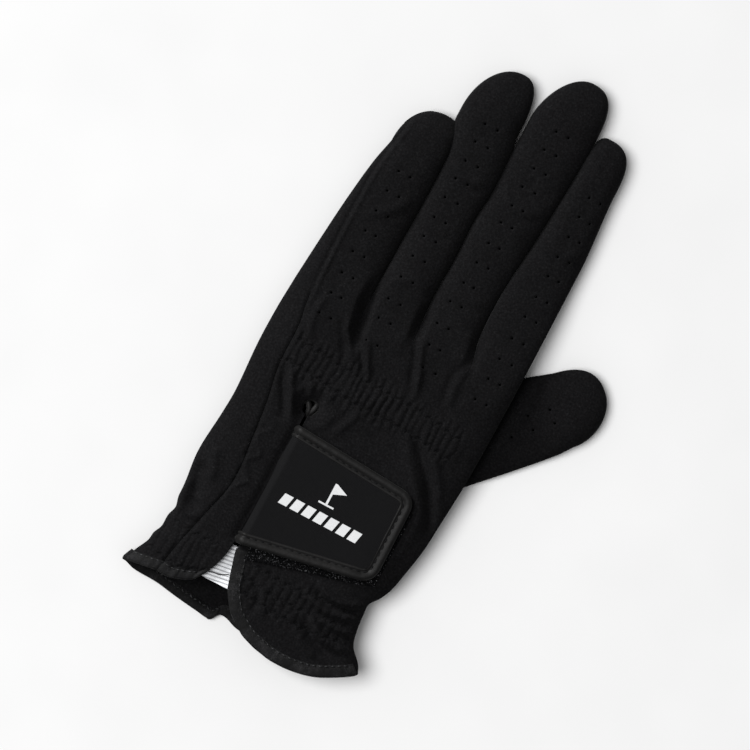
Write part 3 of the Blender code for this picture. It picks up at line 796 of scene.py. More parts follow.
def rows_to_tip(along, edges, dome_start, tip, rounding, count):
    """Rows of a finger or the thumb, with more of them where its tip closes.

    Returns, as columns: their places along it, their middles and half widths across it, and how far they
    are open (1 short of the tip). edges(along) gives both sides; tip is (across, along).
    """
    t = quarter(0, 1, count)
    sides = []
    for side, start, powers in zip(edges(along), edges(np.array([dome_start])), rounding):
        closing = tip[0] + (start - tip[0]) * np.maximum(dome(t, *powers), TIP_OPEN)
        sides.append(np.concatenate([side, closing]))
    left, right = sides
    rows = (np.concatenate([along, mix(dome_start, tip[1], t)]), (left + right) / 2, (right - left) / 2,
            np.concatenate([np.ones(len(along)), np.maximum(dome(t), TIP_OPEN)]))
    return [row[:, None] for row in rows]


def finger_rows(i):
    name = FINGERS[i]
    return rows_to_tip(np.arange(JOIN_Y, DOME_START[name], ROW_PITCH), lambda y: finger_edges(i, y),
                       DOME_START[name], TIP[name], TIP_ROUNDING[name], 34)


def finger_grid(i, share, height):
    """Points over finger i at shares across its rows, by the height of its back or its underside."""
    y, centre, half, shut = finger_rows(i)
    share = share * np.ones(y.shape)
    x = centre + half * share
    z = height(i, x, y * np.ones(x.shape), share)
    left, right = finger_edges(i, y)
    core = (left + right) / 2
    middle = (crown(core, y) + floor_under(i, core, y)) / 2
    return np.stack([x, y * np.ones(x.shape), mix(middle, z, shut)], axis=-1)


def seam_share(i):
    """Where finger i's back begins across each row: its left edge, or the little finger's side seam."""
    y, centre, half, _ = finger_rows(i)
    if i > 0:
        return np.full(y.shape, -1.0)
    dome_start = DOME_START[FINGERS[i]]
    share = (SIDE_SEAM(np.minimum(y, dome_start)) - centre) / half
    return np.where(y <= dome_start, share, share[y <= dome_start][-1])


def gusset(name, upper, lower, bulge, upside_down):
    """A knit side wall between an edge of a finger's back and the same edge of its palm."""
    wall = mix(upper[:, None], lower[:, None], np.linspace(0, 1, 5)[:, None])
    wall[..., 0] += bulge * np.sin(np.linspace(0, math.pi, 5))
    return panel(name, wall, KNIT, thickness=GUSSET, upside_down=upside_down)


def finger(i):
    """A finger's back, palm and side walls; the little finger's palm comes round its side to the seam."""
    name = FINGERS[i]
    seam = seam_share(i)
    back = finger_grid(i, mix(seam, 1.0, (columns(COLUMNS) + 1) / 2), back_height)
    pieces = [panel(name + "_back_skin", back, SUEDE, left_out=punch(back, PERFORATIONS))]
    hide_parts(name + "_back")

    palm = finger_grid(i, columns(36, 0.7), bottom_base)
    if i == 0:
        over = finger_grid(i, mix(seam, -1.0, quarter(0, 1, 16)[:-1]), back_height)
        palm = np.concatenate([over, palm], axis=1)
    pieces.append(panel(name + "_palm_skin", palm, SUEDE, upside_down=True))
    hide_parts(name + "_palm")

    for wall, side in WALLS[name].items():
        edge = 0 if side == -1 else -1
        upper, lower = back[8:, edge], palm[8:, edge]
        pieces.append(gusset(f"{name}_{wall}_gusset", upper, lower, side * 0.25, upside_down=side == -1))
        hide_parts(f"{name}_{wall}_wall")
    for piece in pieces:
        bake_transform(piece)
    return pieces


def vectors(items, attribute):
    """A vector of every item of a mesh, one to a row."""
    flat = np.empty(len(items) * 3)
    items.foreach_get(attribute, flat)
    return flat.reshape(-1, 3)


def share_normals(pieces):
    """Where the borders of pieces meet, their shading meets too: the vertices there get their mean normal."""
    places = np.concatenate([vectors(piece.data.vertices, "co") for piece in pieces])
    normals = np.concatenate([vectors(piece.data.vertex_normals, "vector") for piece in pieces])
    keys = np.round(places / (0.01 * MM)).astype(np.int64)
    _, group, size = np.unique(keys, axis=0, return_inverse=True, return_counts=True)
    total = np.zeros((len(size), 3))
    np.add.at(total, group.ravel(), normals)
    shared = total[group.ravel()]
    shared /= np.linalg.norm(shared, axis=1, keepdims=True) + 1e-12
    start = 0
    for piece in pieces:
        end = start + len(piece.data.vertices)
        piece.data.normals_split_custom_set_from_vertices(shared[start:end].tolist())
        start = end


# ---- thumb ----------------------------------------------------------------------------------------

def thumb_place(along, across):
    """Plan place from the thumb's own axes: along it, and across it towards the cuff."""
    cos, sin = math.cos(THUMB_ANGLE), math.sin(THUMB_ANGLE)
    return (THUMB_PIVOT[0] + along * cos + across * sin, THUMB_PIVOT[1] + along * sin - across * cos)


def thumb_edges(along):
    return THUMB_NEAR(along), THUMB_FAR(along)


def thumb_grid(part):
    """Points over the thumb's back or palm; its hidden end narrows to the room under the hand."""
    along, centre, half, shut = rows_to_tip(np.arange(THUMB_START, THUMB_DOME, ROW_PITCH), thumb_edges,
                                            THUMB_DOME, THUMB_TIP, THUMB_ROUNDING, 40)
    u = columns(60) * np.ones(along.shape)
    along = along * np.ones(u.shape)
    x, y = thumb_place(along, centre + half * u)
    top = mix(*THUMB_Z, smooth((along - 30) / 14))
    under_hand = 1 - smooth((x - RIGHT_EDGE(y) - 1) / 6)
    room = lift(x, y) - 0.5
    top = np.where(under_hand > 0, np.minimum(top, mix(top, room, under_hand)), top)
    top = np.maximum(top, 0.9)
    seam = np.where(u < 0, THUMB_SEAM[part], 0.5) * top
    if part == "back":
        bare = smooth((along - 6) / 10)
        z = seam + (top - seam) * arch(u) + 0.22 * noise(x, y, 11, 6) * bare + 0.1 * noise(x, y, 4, 7) * bare
    else:
        z = seam * (1 - arch(u))
    return np.stack([x, y, mix(top / 2, z, shut)], axis=-1)


def thumb():
    back, palm = thumb_grid("back"), thumb_grid("palm")
    skin = panel("thumb_back_skin", back, SUEDE, left_out=punch(back, THUMB_HOLES))
    sole = panel("thumb_palm_skin", palm, SUEDE, upside_down=True)
    wall = gusset("thumb_gusset", back[30:, 0], palm[30:, 0], bulge=0, upside_down=True)
    for piece, node in ((skin, "thumb_back"), (sole, "thumb_palm"), (wall, "thumb_side_wall")):
        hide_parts(node)
        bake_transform(piece)


# ---- bound edges and seams ------------------------------------------------------------------------

def tape_section(width):
    """A tape folded over a hem, as (depth in from the hem, rise over the cloth's outside)."""
    return ((width, -0.1), (width - 0.15, 0.16), (width - 0.55, 0.08), (width - 1.0, 0.26), (width / 2, 0.4),
            (0.5, 0.44), (-0.3, 0.22), (-0.45, -0.35), (-0.3, -0.95), (0.5, -1.12), (width, -1.0))


def hem_tape(name, cloth, width, seed, tucked=False):
    """A tape over a hem, narrowing away where it is tucked in at its far end.

    cloth(depth) gives the places of the cloth that far in from the hem's edge.
    """
    edge = cloth(0.0)
    inward = unit(cloth(0.8) - edge)
    normal = unit(np.cross(np.gradient(edge, axis=0), inward))
    gone = distance_along(edge)
    pucker = 0.12 * noise(gone, 0 * gone, 6, seed) + 0.12 * noise(gone, 0 * gone, 2.2, seed + 1)
    ends = 0.25 + 0.75 * smooth((gone[-1] - gone) / 2.5) if tucked else np.ones(len(gone))
    rows = []
    for depth, rise in tape_section(width):
        outside = normal * (rise * ends + pucker)[:, None]
        rows.append(cloth(max(depth, 0) * ends) + outside + inward * min(depth, 0))
    return solid_strip(name, np.stack(rows, axis=1), TAPE)


def palm_hem(depth, places):
    y = HEM_PALM(places) + depth
    x = mix(LEFT_EDGE(y), RIGHT_EDGE(y), places)
    return np.column_stack([x, y, underside(x, y)])


def left_hem(depth, wrap, share):
    """The hem over the back: round the little finger's side, then from the side seam to the slit."""
    y = np.concatenate([mix(*SIDE_HEM, wrap), HEM_LEFT(share)]) + depth
    far = np.concatenate([LEFT_EDGE(y[:len(wrap)]), SLIT_LEFT(y[len(wrap):])])
    x = mix(SIDE_SEAM(y), far, np.concatenate([wrap, share]))
    return np.column_stack([x, y, surface(x, y)])


def flap_edge():
    """Plan places along the flap's edge, down the slit and round to the thumb's side."""
    y_slit = np.linspace(-82.5, -97.5, 34)
    share = np.linspace(0, 1, 150)[1:]
    y = HEM_FLAP(share)
    slit = list(zip(SLIT_RIGHT(y_slit), y_slit))
    hem = list(zip(mix(SLIT_RIGHT(y), RIGHT_EDGE(y), share), y))
    return walk(slit + hem, 0.45)


def bindings():
    """The two tapes round the hem, the tuck where they meet, and the stitches that hold them."""
    places = (columns(110, 0.8)[::-1] + 1) / 2
    places = places[places < 0.96]
    wrap = quarter(1, 0, 50)[1:]
    share = np.linspace(0, 1, 50)[1:]
    path = flap_edge()

    def cuff(depth):
        depth = depth * np.ones(len(places) + len(wrap) + len(share))
        low, high = depth[:len(places)], depth[len(places):]
        return np.concatenate([palm_hem(low, places), left_hem(high, wrap, share)])

    def flap(depth):
        return on_surface(beside(path, depth))

    on_hand(hem_tape("cuff_tape", cuff, 4.0, 40, tucked=True), "cuff_binding_back_left", "cuff_binding_palm",
            slot="satin")
    on_hand(hem_tape("flap_tape", flap, 4.5, 50), "cuff_binding_back_right", slot="satin")
    tuck = rounded(((-13.4, -112, 0.9), (-12.2, -111.2, 1.7), (-11.1, -109.2, 2.5), (-10.6, -106.8, 2.1)), 6)
    tuck_section = ((-1.3, -0.5), (-0.5, 0.1), (0.1, 0.45), (0.6, 0.1), (1.0, -0.6))
    on_hand(sweep("hem_tuck", walk(tuck, 0.25), tuck_section, TAPE), slot="satin")

    over = left_hem(3.45, wrap, share)[8:-6, :2]
    beside_flap = flap(3.95)[6:-6, :2]
    under = palm_hem(3.2, places[(places > 0.12) & (places < 0.42)]) + (0, 0, 1.1)
    on_hand(stitches("left_cuff_stitches", [over], TAPE_THREAD, 2.2, 0.2, on=surface, rise=0.2), slot="satin")
    on_hand(stitches("flap_stitches", [beside_flap], TAPE_THREAD, 2.4, 0.22, on=surface, rise=0.22),
            slot="satin")
    on_hand(stitches("palm_cuff_stitches", [under], TAPE_THREAD, 2.0, 0.32, rise=0.1, slant=0.5),
            slot="satin")


def zigzag_line(line, span):
    """The corners of a zigzag row, which fall on every half pitch."""
    half = ZIGZAG_PITCH / 2
    x = np.arange(math.ceil(span[0] / half), math.floor(span[1] / half)) * half
    return np.column_stack([x, line(x) + zigzag(x)])


def elastic_stitches():
    rows = ((BAND_TOP, (-33.5, 43)), (BAND_LOW, (-33.5, 43)), (FLAP_TOP, (-10, 39)), (FLAP_LOW, (-10, 39)),
            (WRIST_TOP, (-35, -19.5)), (WRIST_LOW, (-35, -19.5)), (FLAP_MIDDLE, (-9, 38)))
    lines = [zigzag_line(line, span) for line, span in rows]
    sewn = stitches("elastic_stitches", lines, THREAD, 1.35, 0.15, length=1.05, on=surface, rise=0.05)
    on_hand(sewn, slot="elastic")


def lining(name, node, x_span, y_span, look):
    """A strip sewn under the back, which follows its gathers from inside."""
    x, y = plan_grid(x_span, y_span, 24, 60)
    grid = np.stack([x, y, surface(x, y) - CLOTH - LINING_DROP], axis=-1)
    on_hand(panel(name, grid, look, thickness=0.4), node)


def inner_parts():
    lining("knuckle_elastic_strip", "knuckle_elastic", (-29, 40), (-13.6, -5), ELASTIC)
    lining("flap_elastic_strip", "wrist_elastic_right", (-3, 33), (-95.5, -87), ELASTIC)
    lining("left_elastic_strip", "wrist_elastic_left", (-31, -23), (-93, -85.5), ELASTIC)
    lining("slit_facing_strip", "slit_facing", (-13.8, -9.5), (-78, -29), KNIT)
    lining("tab_anchor_patch", "tab_anchor", (-26, -18.2), (-78, -33), KNIT)


def ribbed_lining():
    """The white ribbed lining that shows through the open foot of the slit, and the thread across it."""
    x, y = plan_grid((-25, -7.5), (-98.2, -82.2), 120, 90)
    ribs = 0.24 * np.abs(np.sin(math.pi * (y + SHIFT[1] - RIB_SLOPE * (x + SHIFT[0])) / RIB_PITCH))
    z = 10.2 + 0.04 * (x + 16) + ribs - 0.5 * np.exp(-((x + 16) / 4) ** 2)
    grid = np.stack([x, y, z], axis=-1)
    piece = panel("ribbed_lining", grid, LABEL, thickness=0.3)
    on_hand(piece, "care_label", slot="lining")
    line = rounded(((-21.8, -95.9, 10.95), (-19, -95, 11.1), (-16.5, -94.6, 11.2), (-14, -93.2, 11.4),
                    (-12.4, -92.8, 11.5)), 6)
    on_hand(sweep("slit_thread", walk(line, 0.3), circle(0.17, 6), THREAD), slot="lining")


def circle(radius, sides):
    angles = np.linspace(0, 2 * math.pi, sides, endpoint=False)
    return [(radius * math.cos(a), radius * math.sin(a)) for a in angles]


RIBBONS = {     # each one's path, with heights over the keyhole, and its section
    "keyhole_roll": (
        ((-18.3, -25.2, -0.5), (-19.0, -22.4, -0.1), (-17.9, -20.0, -0.1), (-15.7, -19.5, -0.3),
         (-13.4, -20.5, 0.0), (-12.8, -22.6, 0.1), (-13.9, -25.3, -0.2), (-15.2, -27.6, -0.8)),
        ((-0.5, -0.3), (-0.3, 0.2), (0.1, 0.3), (0.5, 0.1), (0.35, -0.4))),
    "keyhole_fold": (
        ((-18.4, -20.4, -0.8), (-17.2, -21.2, 0.2), (-16.1, -22.7, 0.5), (-15.6, -24.6, 0.1),
         (-15.5, -26.6, -0.9)),
        ((-1.0, -0.35), (-0.6, 0.1), (0.0, 0.42), (0.8, 0.2), (1.2, -0.4), (0.1, -0.1))),
    "keyhole_tail": (
        ((-14.3, -19.3, -0.7), (-13.9, -20.9, 0.35), (-14.3, -22.6, 0.5), (-15.0, -24.4, 0.0),
         (-15.4, -26.4, -0.9)),
        ((-1.1, -0.3), (-0.7, 0.25), (0.1, 0.4), (0.9, 0.0), (1.1, -0.4), (0.0, -0.1))),
}


def keyhole_binding():
    """The slit's satin binding, pinched together where it turns round inside the keyhole."""
    level = surface(np.array([KEYHOLE[0] - 4]), np.array([KEYHOLE[1]]))[0] - 1.2
    for name, (points, section) in RIBBONS.items():
        path = walk(rounded(points, 6), 0.25)
        path[:, 2] += level + 0.12 * noise(path[:, 0], path[:, 1], 1.1, 80)
        nodes = ["keyhole_rim"] if name == "keyhole_roll" else []
        on_hand(sweep(name, path, section, SATIN), *nodes, slot="satin")


# ---- closure tab ----------------------------------------------------------------------------------

def tab_outline():
    """The tab's edge from its top left corner, round the rounded end, to its bottom left corner."""
    corners = np.array(TAB_CORNERS)
    path = [corners[0]]
    for before, corner, after in zip(corners, corners[1:], corners[2:]):
        start = corner + (before - corner) / np.linalg.norm(before - corner) * TAB_ROUNDING
        end = corner + (after - corner) / np.linalg.norm(after - corner) * TAB_ROUNDING
        for s in np.linspace(0, 1, 14):
            path.append((1 - s) ** 2 * start + 2 * s * (1 - s) * corner + s * s * end)
    path.append(corners[-1])
    return walk(path, 0.4)


def tab_z(x, y):
    """Height of the tab's middle layer: stiff over the hand's back, and dipping into the slit at its root."""
    base = over_sectors(back_base, x, y)
    return base + mix(-1.9, 1.7, smooth((x + 17.4) / 3.0)) + 0.12 * noise(x, y, 16, 8)


def on_tab(points, rise=0.0):
    """Plan places (x, y) with the height of the tab there."""
    return np.column_stack([points, tab_z(points[:, 0], points[:, 1]) + rise])


TAB_BAND = ((1.0, -0.75), (0.3, -0.7), (-0.1, -0.25), (0.0, 0.3), (0.45, 0.78), (1.2, 1.02), (2.0, 0.95),
            (2.7, 0.55), (3.1, 0.12), (3.45, 0.14), (3.8, 0.42), (4.25, 0.46), (4.6, 0.22), (4.7, -0.4))


def hinge_to_tab(piece, *nodes, slot=None):
    """The piece's place is baked into its mesh, in place of CAD nodes, which it hides; slot is not used."""
    if nodes:
        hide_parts(*nodes)
    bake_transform(piece)


def tab_layer(name, inset, rise, thickness, look):
    """A layer of the tab that fills its outline to an inset from the edge."""
    inner = beside(tab_outline(), -inset)
    turn = inner[:, 0].argmax()
    x = mix(TAB_ROOT, inner[turn, 0] - 0.02, 1 - (1 - np.linspace(0, 1, 120)) ** 1.6)
    high = np.interp(x, inner[:turn, 0], inner[:turn, 1])
    low = np.interp(x, inner[turn:, 0][::-1], inner[turn:, 1][::-1])
    y = mix(low[None, :], high[None, :], np.linspace(0, 1, 90)[:, None])
    x = x * np.ones(y.shape)
    grid = np.stack([x, y, tab_z(x, y) + rise], axis=-1)
    piece = panel(name, grid, look, thickness=thickness)
    return piece


def tab():
    outline = tab_outline()
    path = on_tab(outline)
    path[:, 2] += 0.05 * noise(np.arange(len(path)), np.zeros(len(path)), 6, 70)
    hinge_to_tab(sweep("tab_edge_roll", path, TAB_BAND, SATIN), "tab_piping", slot="satin")
    hinge_to_tab(tab_layer("tab_cloth", 4.2, 0.24, 0.5, FABRIC), "tab_face")
    hinge_to_tab(tab_layer("tab_under", 0.7, -0.35, 0.4, KNIT), "tab_backing")
    seam = on_tab(beside(outline, -3.25), 0.26)
    hinge_to_tab(stitches("tab_stitches", [seam], THREAD, 2.9, 0.17, length=2.0), slot="satin")
    hinge_to_tab(hook_pad(), "tab_hook_pad")
    hinge_to_tab(emblem(), "tab_emblem", slot="print")


def hook_pad():
    """The stiff hook tape under the tab, its hooks too fine to be more than a tooth to the touch."""
    x, y = plan_grid((8, 31), (-67.5, -39), 90, 70)
    tooth = 0.12 * np.sin(2 * math.pi * x / 1.3) * np.sin(2 * math.pi * y / 1.3)
    grid = np.stack([x, y, tab_z(x, y) - 1.15 + tooth], axis=-1)
    return panel("tab_hooks", grid, HOOK, thickness=0.35, upside_down=True)


def emblem():
    """A generic silver print: a pennant on its pole over a row of slanted blocks."""
    shapes = [((-0.45, -4.2), (0.45, -4.2), (0.45, 4.6), (-0.45, 4.6)),
              ((0.45, 4.6), (0.45, 0.4), (5.4, 2.5)),
              ((-3.2, -4.7), (3.2, -4.7), (3.2, -4.0), (-3.2, -4.0))]
    for k in range(7):
        left = -16.6 + k * 4.9
        shapes.append(((left, -12), (left + 3.6, -12), (left + 4.6, -7.6), (left + 1.0, -7.6)))
    points, faces = [], []
    for shape in shapes:
        rim = on_tab(np.array(shape) + EMBLEM_PLACE, 0.24)
        base, n = len(points), len(shape)
        points += [*(rim + (0, 0, 0.1)), *(rim - (0, 0, 0.1))]
        faces.append([base + k for k in range(n)])
        faces.append([base + n + k for k in reversed(range(n))])
        faces += [[base + k, base + n + k, base + n + (k + 1) % n, base + (k + 1) % n] for k in range(n)]
    piece = new_object("tab_print", metres(points), faces, PRINT)
    edit(piece.data, face_outward)
    piece.data.shade_flat()
    return piece


LOOP_COUNT = 4200
LOOP_LOW = curve((-11.2, -84.9), (3.4, -80.8), (14.9, -77.4), (26.4, -74.6), (37.4, -71))


def loop_pad():
    """The loop patch that the tab's hooks grip: a backing strip under a pile of thread loops."""
    share = np.linspace(0, 1, 60)[:, None]
    x = np.linspace(-11.2, 37.4, 100) * np.ones(share.shape)
    y = mix(LOOP_LOW(x), -40, share)
    grid = np.stack([x, y, surface(x, y) + 0.35], axis=-1)
    backing = panel("loop_backing", grid, LOOP_WITH_PAINTED_GLINTS, thickness=0.4)
    on_hand(backing, "loop_pad")
    on_hand(loop_pile(), slot="loop")


def loop_pile():
    """Thousands of small upright loops of thread, each turned its own way."""
    random = np.random.default_rng(7)
    x = random.uniform(-11, 37.2, LOOP_COUNT)
    y = mix(LOOP_LOW(x) + 0.1, -40.5, random.uniform(0, 1, LOOP_COUNT))
    angle = random.uniform(0, math.pi, LOOP_COUNT)
    size = random.uniform(0.28, 0.5, LOOP_COUNT)
    tall = random.uniform(0.35, 0.8, LOOP_COUNT)
    turn = np.linspace(0, math.pi, 6)
    run = np.stack([np.cos(angle), np.sin(angle)], axis=-1)
    core = np.zeros((LOOP_COUNT, len(turn), 3))
    swing = (size[:, None] * np.cos(turn))[..., None]
    core[..., :2] = np.column_stack([x, y])[:, None] - run[:, None] * swing
    core[..., 2] = (surface(x, y) + 0.3)[:, None] + tall[:, None] * np.sin(turn)
    side = np.column_stack([leftward(run), 0 * angle])
    out = -np.cos(turn)[None, :, None] * np.column_stack([run, 0 * angle])[:, None]
    out[..., 2] += np.sin(turn)
    ring = [core + 0.075 * (side[:, None] * math.cos(a) + out * math.sin(a)) for a in (0, 2.1, 4.2)]
    cells = quads(len(turn), len(ring), closed=True)
    faces = cells + np.arange(LOOP_COUNT)[:, None, None] * len(turn) * len(ring)
    return new_object("loop_pile", metres(np.stack(ring, axis=2)), faces.reshape(-1, 4).tolist(), LOOP_WITH_PAINTED_GLINTS)


# ---- materials ------------------------------------------------------------------------------------

WAVE_PERIOD = 0.314         # a wave texture of scale 1 repeats after this length


class Look:
    """A Principled material built up node by node on object coordinates in metres."""

    def __init__(self, name, roughness, specular, sheen=0.0, sheen_roughness=0.5):
        self.material = bpy.data.materials.new(name)
        self.material.use_nodes = True
        self.nodes = self.material.node_tree.nodes
        self.links = self.material.node_tree.links
        self.shader = self.nodes["Principled BSDF"]
        self.shader.inputs["Roughness"].default_value = roughness
        self.shader.inputs["Specular IOR Level"].default_value = specular
        self.shader.inputs["Sheen Weight"].default_value = sheen
        self.shader.inputs["Sheen Roughness"].default_value = sheen_roughness
        self.place = self.nodes.new("ShaderNodeTexCoord").outputs["Object"]

    def along(self, axis):
        """The place along one axis of the object, in metres."""
        node = self.nodes.new("ShaderNodeSeparateXYZ")
        self.links.new(self.place, node.inputs[0])
        return node.outputs[axis]

    def mapped(self, stretch):
        mapping = self.nodes.new("ShaderNodeMapping")
        mapping.inputs["Scale"].default_value = stretch
        self.links.new(self.place, mapping.inputs["Vector"])
        return mapping.outputs["Vector"]

    def noise(self, size, detail=3.0, stretch=None, roughness=0.6):
        """Noise with features of about size millimetres."""
        node = self.nodes.new("ShaderNodeTexNoise")
        node.inputs["Scale"].default_value = 1 / (size * MM)
        node.inputs["Detail"].default_value = detail
        node.inputs["Roughness"].default_value = roughness
        self.links.new(self.mapped(stretch) if stretch else self.place, node.inputs["Vector"])
        return node.outputs["Fac"]

    def waves(self, size, axis, distortion=0.0):
        """Bands across an axis, size millimetres apart."""
        node = self.nodes.new("ShaderNodeTexWave")
        node.bands_direction = axis
        node.inputs["Scale"].default_value = WAVE_PERIOD / (size * MM)
        node.inputs["Distortion"].default_value = distortion
        self.links.new(self.place, node.inputs["Vector"])
        return node.outputs["Fac"]

    def weave(self, x_size, y_size, distortion=0.0):
        """Bands both ways."""
        along_x = self.waves(x_size, "X", distortion)
        return self.maths("MULTIPLY", along_x, self.waves(y_size, "Y", distortion))

    def maths(self, operation, a, b=0):
        node = self.nodes.new("ShaderNodeMath")
        node.operation = operation
        for socket, value in zip(node.inputs, (a, b)):
            if isinstance(value, (int, float)):
                socket.default_value = value
            else:
                self.links.new(value, socket)
        return node.outputs[0]

    def mixed(self, a, b, share):
        """A share of one factor and the rest of another."""
        return self.maths("ADD", self.maths("MULTIPLY", a, share), self.maths("MULTIPLY", b, 1 - share))

    def colours(self, factor, *stops):
        """The colour by a factor: stops are (position, (r, g, b))."""
        node = self.nodes.new("ShaderNodeValToRGB")
        elements = node.color_ramp.elements
        while len(elements) < len(stops):
            elements.new(0.5)
        for element, (position, colour) in zip(elements, stops):
            element.position = position
            element.color = (*colour, 1)
        self.links.new(factor, node.inputs["Fac"])
        self.links.new(node.outputs["Color"], self.shader.inputs["Base Color"])

    def rough(self, factor, low, high):
        node = self.nodes.new("ShaderNodeMapRange")
        node.inputs["To Min"].default_value = low
        node.inputs["To Max"].default_value = high
        self.links.new(factor, node.inputs["Value"])
        self.links.new(node.outputs["Result"], self.shader.inputs["Roughness"])

    def bump(self, height, strength, distance):
        """Surface detail; distance is its depth in millimetres. Calls add up."""
        node = self.nodes.new("ShaderNodeBump")
        node.inputs["Strength"].default_value = strength
        node.inputs["Distance"].default_value = distance * MM
        self.links.new(height, node.inputs["Height"])
        if self.shader.inputs["Normal"].is_linked:
            self.links.new(self.shader.inputs["Normal"].links[0].from_socket, node.inputs["Normal"])
        self.links.new(node.outputs["Normal"], self.shader.inputs["Normal"])


def suede():
    look = Look("black_microsuede", 0.9, 0.04, sheen=0.02, sheen_roughness=0.4)
    nap = look.noise(9, 4)
    fibre = look.noise(0.8, 4, roughness=0.75)
    look.colours(look.mixed(nap, fibre, 0.15),
                 (0.36, (0.0017, 0.0016, 0.0018)), (0.52, (0.0037, 0.0036, 0.0039)),
                 (0.64, (0.0066, 0.0065, 0.0069)), (0.74, (0.018, 0.0178, 0.0185)))
    look.rough(nap, 0.8, 0.98)
    look.bump(fibre, 0.5, 0.12)
    look.bump(look.noise(1.6, 3), 0.35, 0.3)
    return look.material


def knit():
    look = Look("black_stretch_knit", 0.9, 0.1, sheen=0.03)
    weave = look.weave(0.9, 0.7, 0.4)
    look.colours(weave, (0.1, (0.0022, 0.0022, 0.0025)), (0.8, (0.0062, 0.0062, 0.0067)))
    look.rough(look.noise(4), 0.85, 0.97)
    look.bump(weave, 0.6, 0.15)
    return look.material


def satin():
    look = Look("satin_tape", 0.42, 0.13, sheen=0.02)
    threads = look.noise(0.28, 3, stretch=(1, 0.35, 1))
    cloudy = look.noise(6, 3)
    look.colours(look.mixed(threads, cloudy, 0.5),
                 (0.35, (0.0016, 0.0015, 0.0015)), (0.65, (0.0042, 0.0040, 0.0039)))
    look.rough(cloudy, 0.48, 0.68)
    look.bump(threads, 0.35, 0.06)
    look.bump(look.noise(1.5, 2), 0.5, 0.25)
    return look.material


def tape():
    look = Look("matt_binding_tape", 0.75, 0.1, sheen=0.02)
    threads = look.noise(0.35, 3)
    cloudy = look.noise(5, 3)
    look.colours(look.mixed(threads, cloudy, 0.5), (0.38, (0.0012, 0.0012, 0.0013)),
                 (0.52, (0.0034, 0.0034, 0.0036)), (0.66, (0.019, 0.0187, 0.0195)))
    look.rough(cloudy, 0.66, 0.85)
    look.bump(threads, 0.5, 0.12)
    look.bump(look.noise(1.8, 2), 0.55, 0.4)
    return look.material


def tape_thread():
    look = Look("shiny_black_thread", 0.5, 0.2)
    twist = look.noise(1.6, 2)
    look.colours(twist, (0.4, (0.003, 0.003, 0.0033)), (0.7, (0.022, 0.022, 0.024)))
    look.bump(twist, 0.5, 0.05)
    return look.material


def tab_fabric():
    look = Look("tab_weave", 0.85, 0.04, sheen=0.01)
    tone = look.mixed(look.weave(0.55, 0.55, 0.6), look.noise(0.5, 3), 0.5)
    look.colours(tone, (0.2, (0.0026, 0.0026, 0.0029)), (0.6, (0.0055, 0.0055, 0.0058)),
                 (0.8, (0.011, 0.011, 0.0115)))
    look.rough(look.noise(5), 0.78, 0.9)
    look.bump(tone, 0.5, 0.1)
    return look.material


def thread():
    look = Look("black_thread", 0.8, 0.08)
    twist = look.noise(0.18, 2)
    look.colours(twist, (0.35, (0.0025, 0.0025, 0.003)), (0.7, (0.0065, 0.0065, 0.007)))
    look.bump(twist, 0.5, 0.05)
    return look.material


def pile():
    look = Look("loop_pile", 0.8, 0.04)
    fibre = look.noise(0.6, 3)
    # Its brightest stop paints scattered specks of highlight, glints of light off the loops; below that stop
    # is the pile's own black.
    look.colours(fibre, (0.45, (0.001, 0.001, 0.0012)), (0.6, (0.0024, 0.0024, 0.0026)),
                 (0.68, (0.09, 0.09, 0.095)))
    look.bump(look.noise(0.25, 2), 0.6, 0.08)
    return look.material


def hook_tape():
    look = Look("hook_tape", 0.5, 0.4)
    grid = look.weave(1.3, 1.3)
    look.colours(grid, (0.2, (0.006, 0.006, 0.0065)), (0.8, (0.018, 0.018, 0.019)))
    look.bump(grid, 0.8, 0.3)
    return look.material


def ribbed_white():
    look = Look("white_ribbed_lining", 0.85, 0.1)
    weave = look.noise(0.35, 2, stretch=(0.4, 1, 1))
    across = look.maths("SUBTRACT", look.along("Y"), look.maths("MULTIPLY", look.along("X"), RIB_SLOPE))
    turn = look.maths("MULTIPLY", across, math.pi / (RIB_PITCH * MM))
    ribs = look.maths("ABSOLUTE", look.maths("SINE", turn))
    # The rib term darkens the colour in the valleys between the ribs: painted shade, on top of the weave's
    # own tone.
    look.colours(look.mixed(weave, ribs, 0.25),
                 (0.18, (0.24, 0.24, 0.25)), (0.45, (0.52, 0.53, 0.55)), (0.8, (0.70, 0.71, 0.73)))
    look.bump(weave, 0.4, 0.08)
    return look.material


def silver_print():
    look = Look("silver_print", 0.4, 0.5)
    flake = look.noise(0.3, 3)
    look.colours(flake, (0.3, (0.38, 0.385, 0.39)), (0.7, (0.50, 0.505, 0.51)))
    look.rough(look.noise(2), 0.35, 0.55)
    look.bump(flake, 0.15, 0.03)
    return look.material


def elastic():
    look = Look("elastic_tape", 0.75, 0.25, sheen=0.1)
    ribs = look.waves(0.8, "Y", 0.3)
    look.colours(ribs, (0.1, (0.006, 0.006, 0.0065)), (0.9, (0.018, 0.018, 0.019)))
    look.bump(ribs, 0.7, 0.2)
    return look.material


def paper_floor():
    look = Look("floor_paper", 0.9, 0.05)
    look.colours(look.noise(60, 2), (0.3, (0.90, 0.90, 0.90)), (0.7, (0.93, 0.93, 0.93)))
    return look.material


# ---- stage ----------------------------------------------------------------------------------------

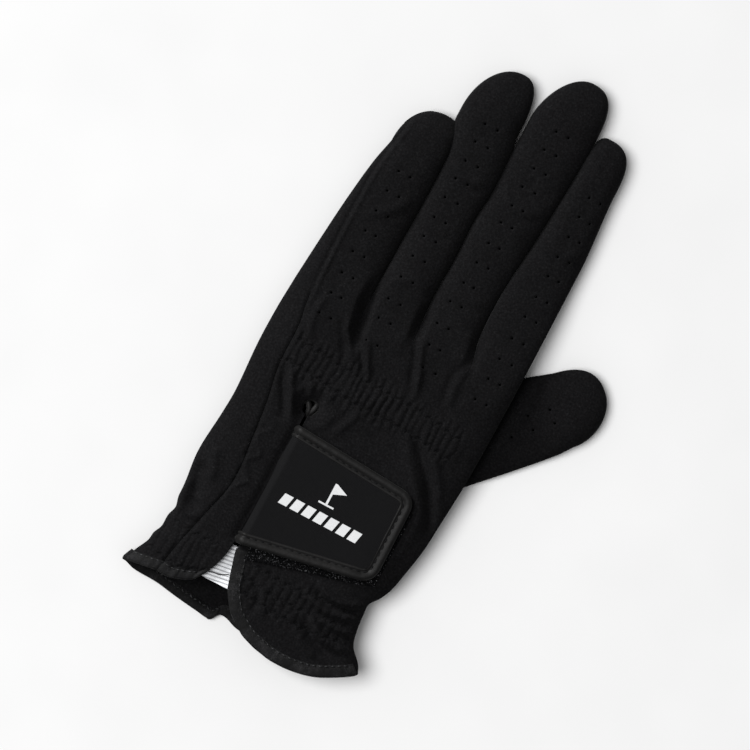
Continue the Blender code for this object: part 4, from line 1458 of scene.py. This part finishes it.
def stage():
    floor = new_object("floor", np.array([(-3, -3, 0), (3, -3, 0), (3, 3, 0), (-3, 3, 0)]) - [0, 0, 0.0003],
                       [(0, 1, 2, 3)], paper_floor())
    floor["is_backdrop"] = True

    world = bpy.data.worlds.new("studio")
    bpy.context.scene.world = world
    world.use_nodes = True
    background = world.node_tree.nodes["Background"]
    background.inputs["Color"].default_value = (1, 1, 1, 1)
    background.inputs["Strength"].default_value = 0.3

    soft_light("overhead", (-1.2, -0.3, 2.7), 2.1, 78)
    bpy.context.scene.view_settings.view_transform = "Standard"


def soft_light(name, place, size, power):
    """A round softbox that looks at the glove."""
    data = bpy.data.lights.new(name, "AREA")
    data.shape = "DISK"
    data.size = size
    data.energy = power
    lamp = bpy.data.objects.new(name, data)
    lamp.location = place
    lamp.rotation_euler = (-lamp.location).to_track_quat("-Z", "Y").to_euler()
    bpy.context.scene.collection.objects.link(lamp)
    return lamp


def side_light():
    """A low light that models the folds of the cloth and leaves the floor alone."""
    lamp = soft_light("side", (-2.4, 1.0, 1.1), 1.2, 130)
    lit = bpy.data.collections.new("lit_from_the_side")
    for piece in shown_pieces():
        lit.objects.link(piece)
    lamp.light_linking.receiver_collection = lit


def camera():
    data = bpy.data.cameras.new("camera")
    data.sensor_width = 36
    data.lens = 150
    view = bpy.data.objects.new("camera", data)
    centre = metres((0, 0, 0))
    view.location = (centre[0], centre[1], CAMERA_HEIGHT)
    view.rotation_euler = (0, 0, math.radians(28))
    bpy.context.scene.collection.objects.link(view)
    bpy.context.scene.camera = view


SUEDE = suede()
KNIT = knit()
SATIN = satin()
FABRIC = tab_fabric()
THREAD = thread()
TAPE_THREAD = tape_thread()
TAPE = tape()
LOOP_WITH_PAINTED_GLINTS = pile()
HOOK = hook_tape()
LABEL = ribbed_white()
PRINT = silver_print()
ELASTIC = elastic()

stage()
camera()
skins = [hand_back(), hand_palm()]
for number in range(len(FINGERS)):
    skins += finger(number)
share_normals(skins)
thumb()
bindings()
elastic_stitches()
inner_parts()
ribbed_lining()
keyhole_binding()
loop_pad()
tab()
side_light()
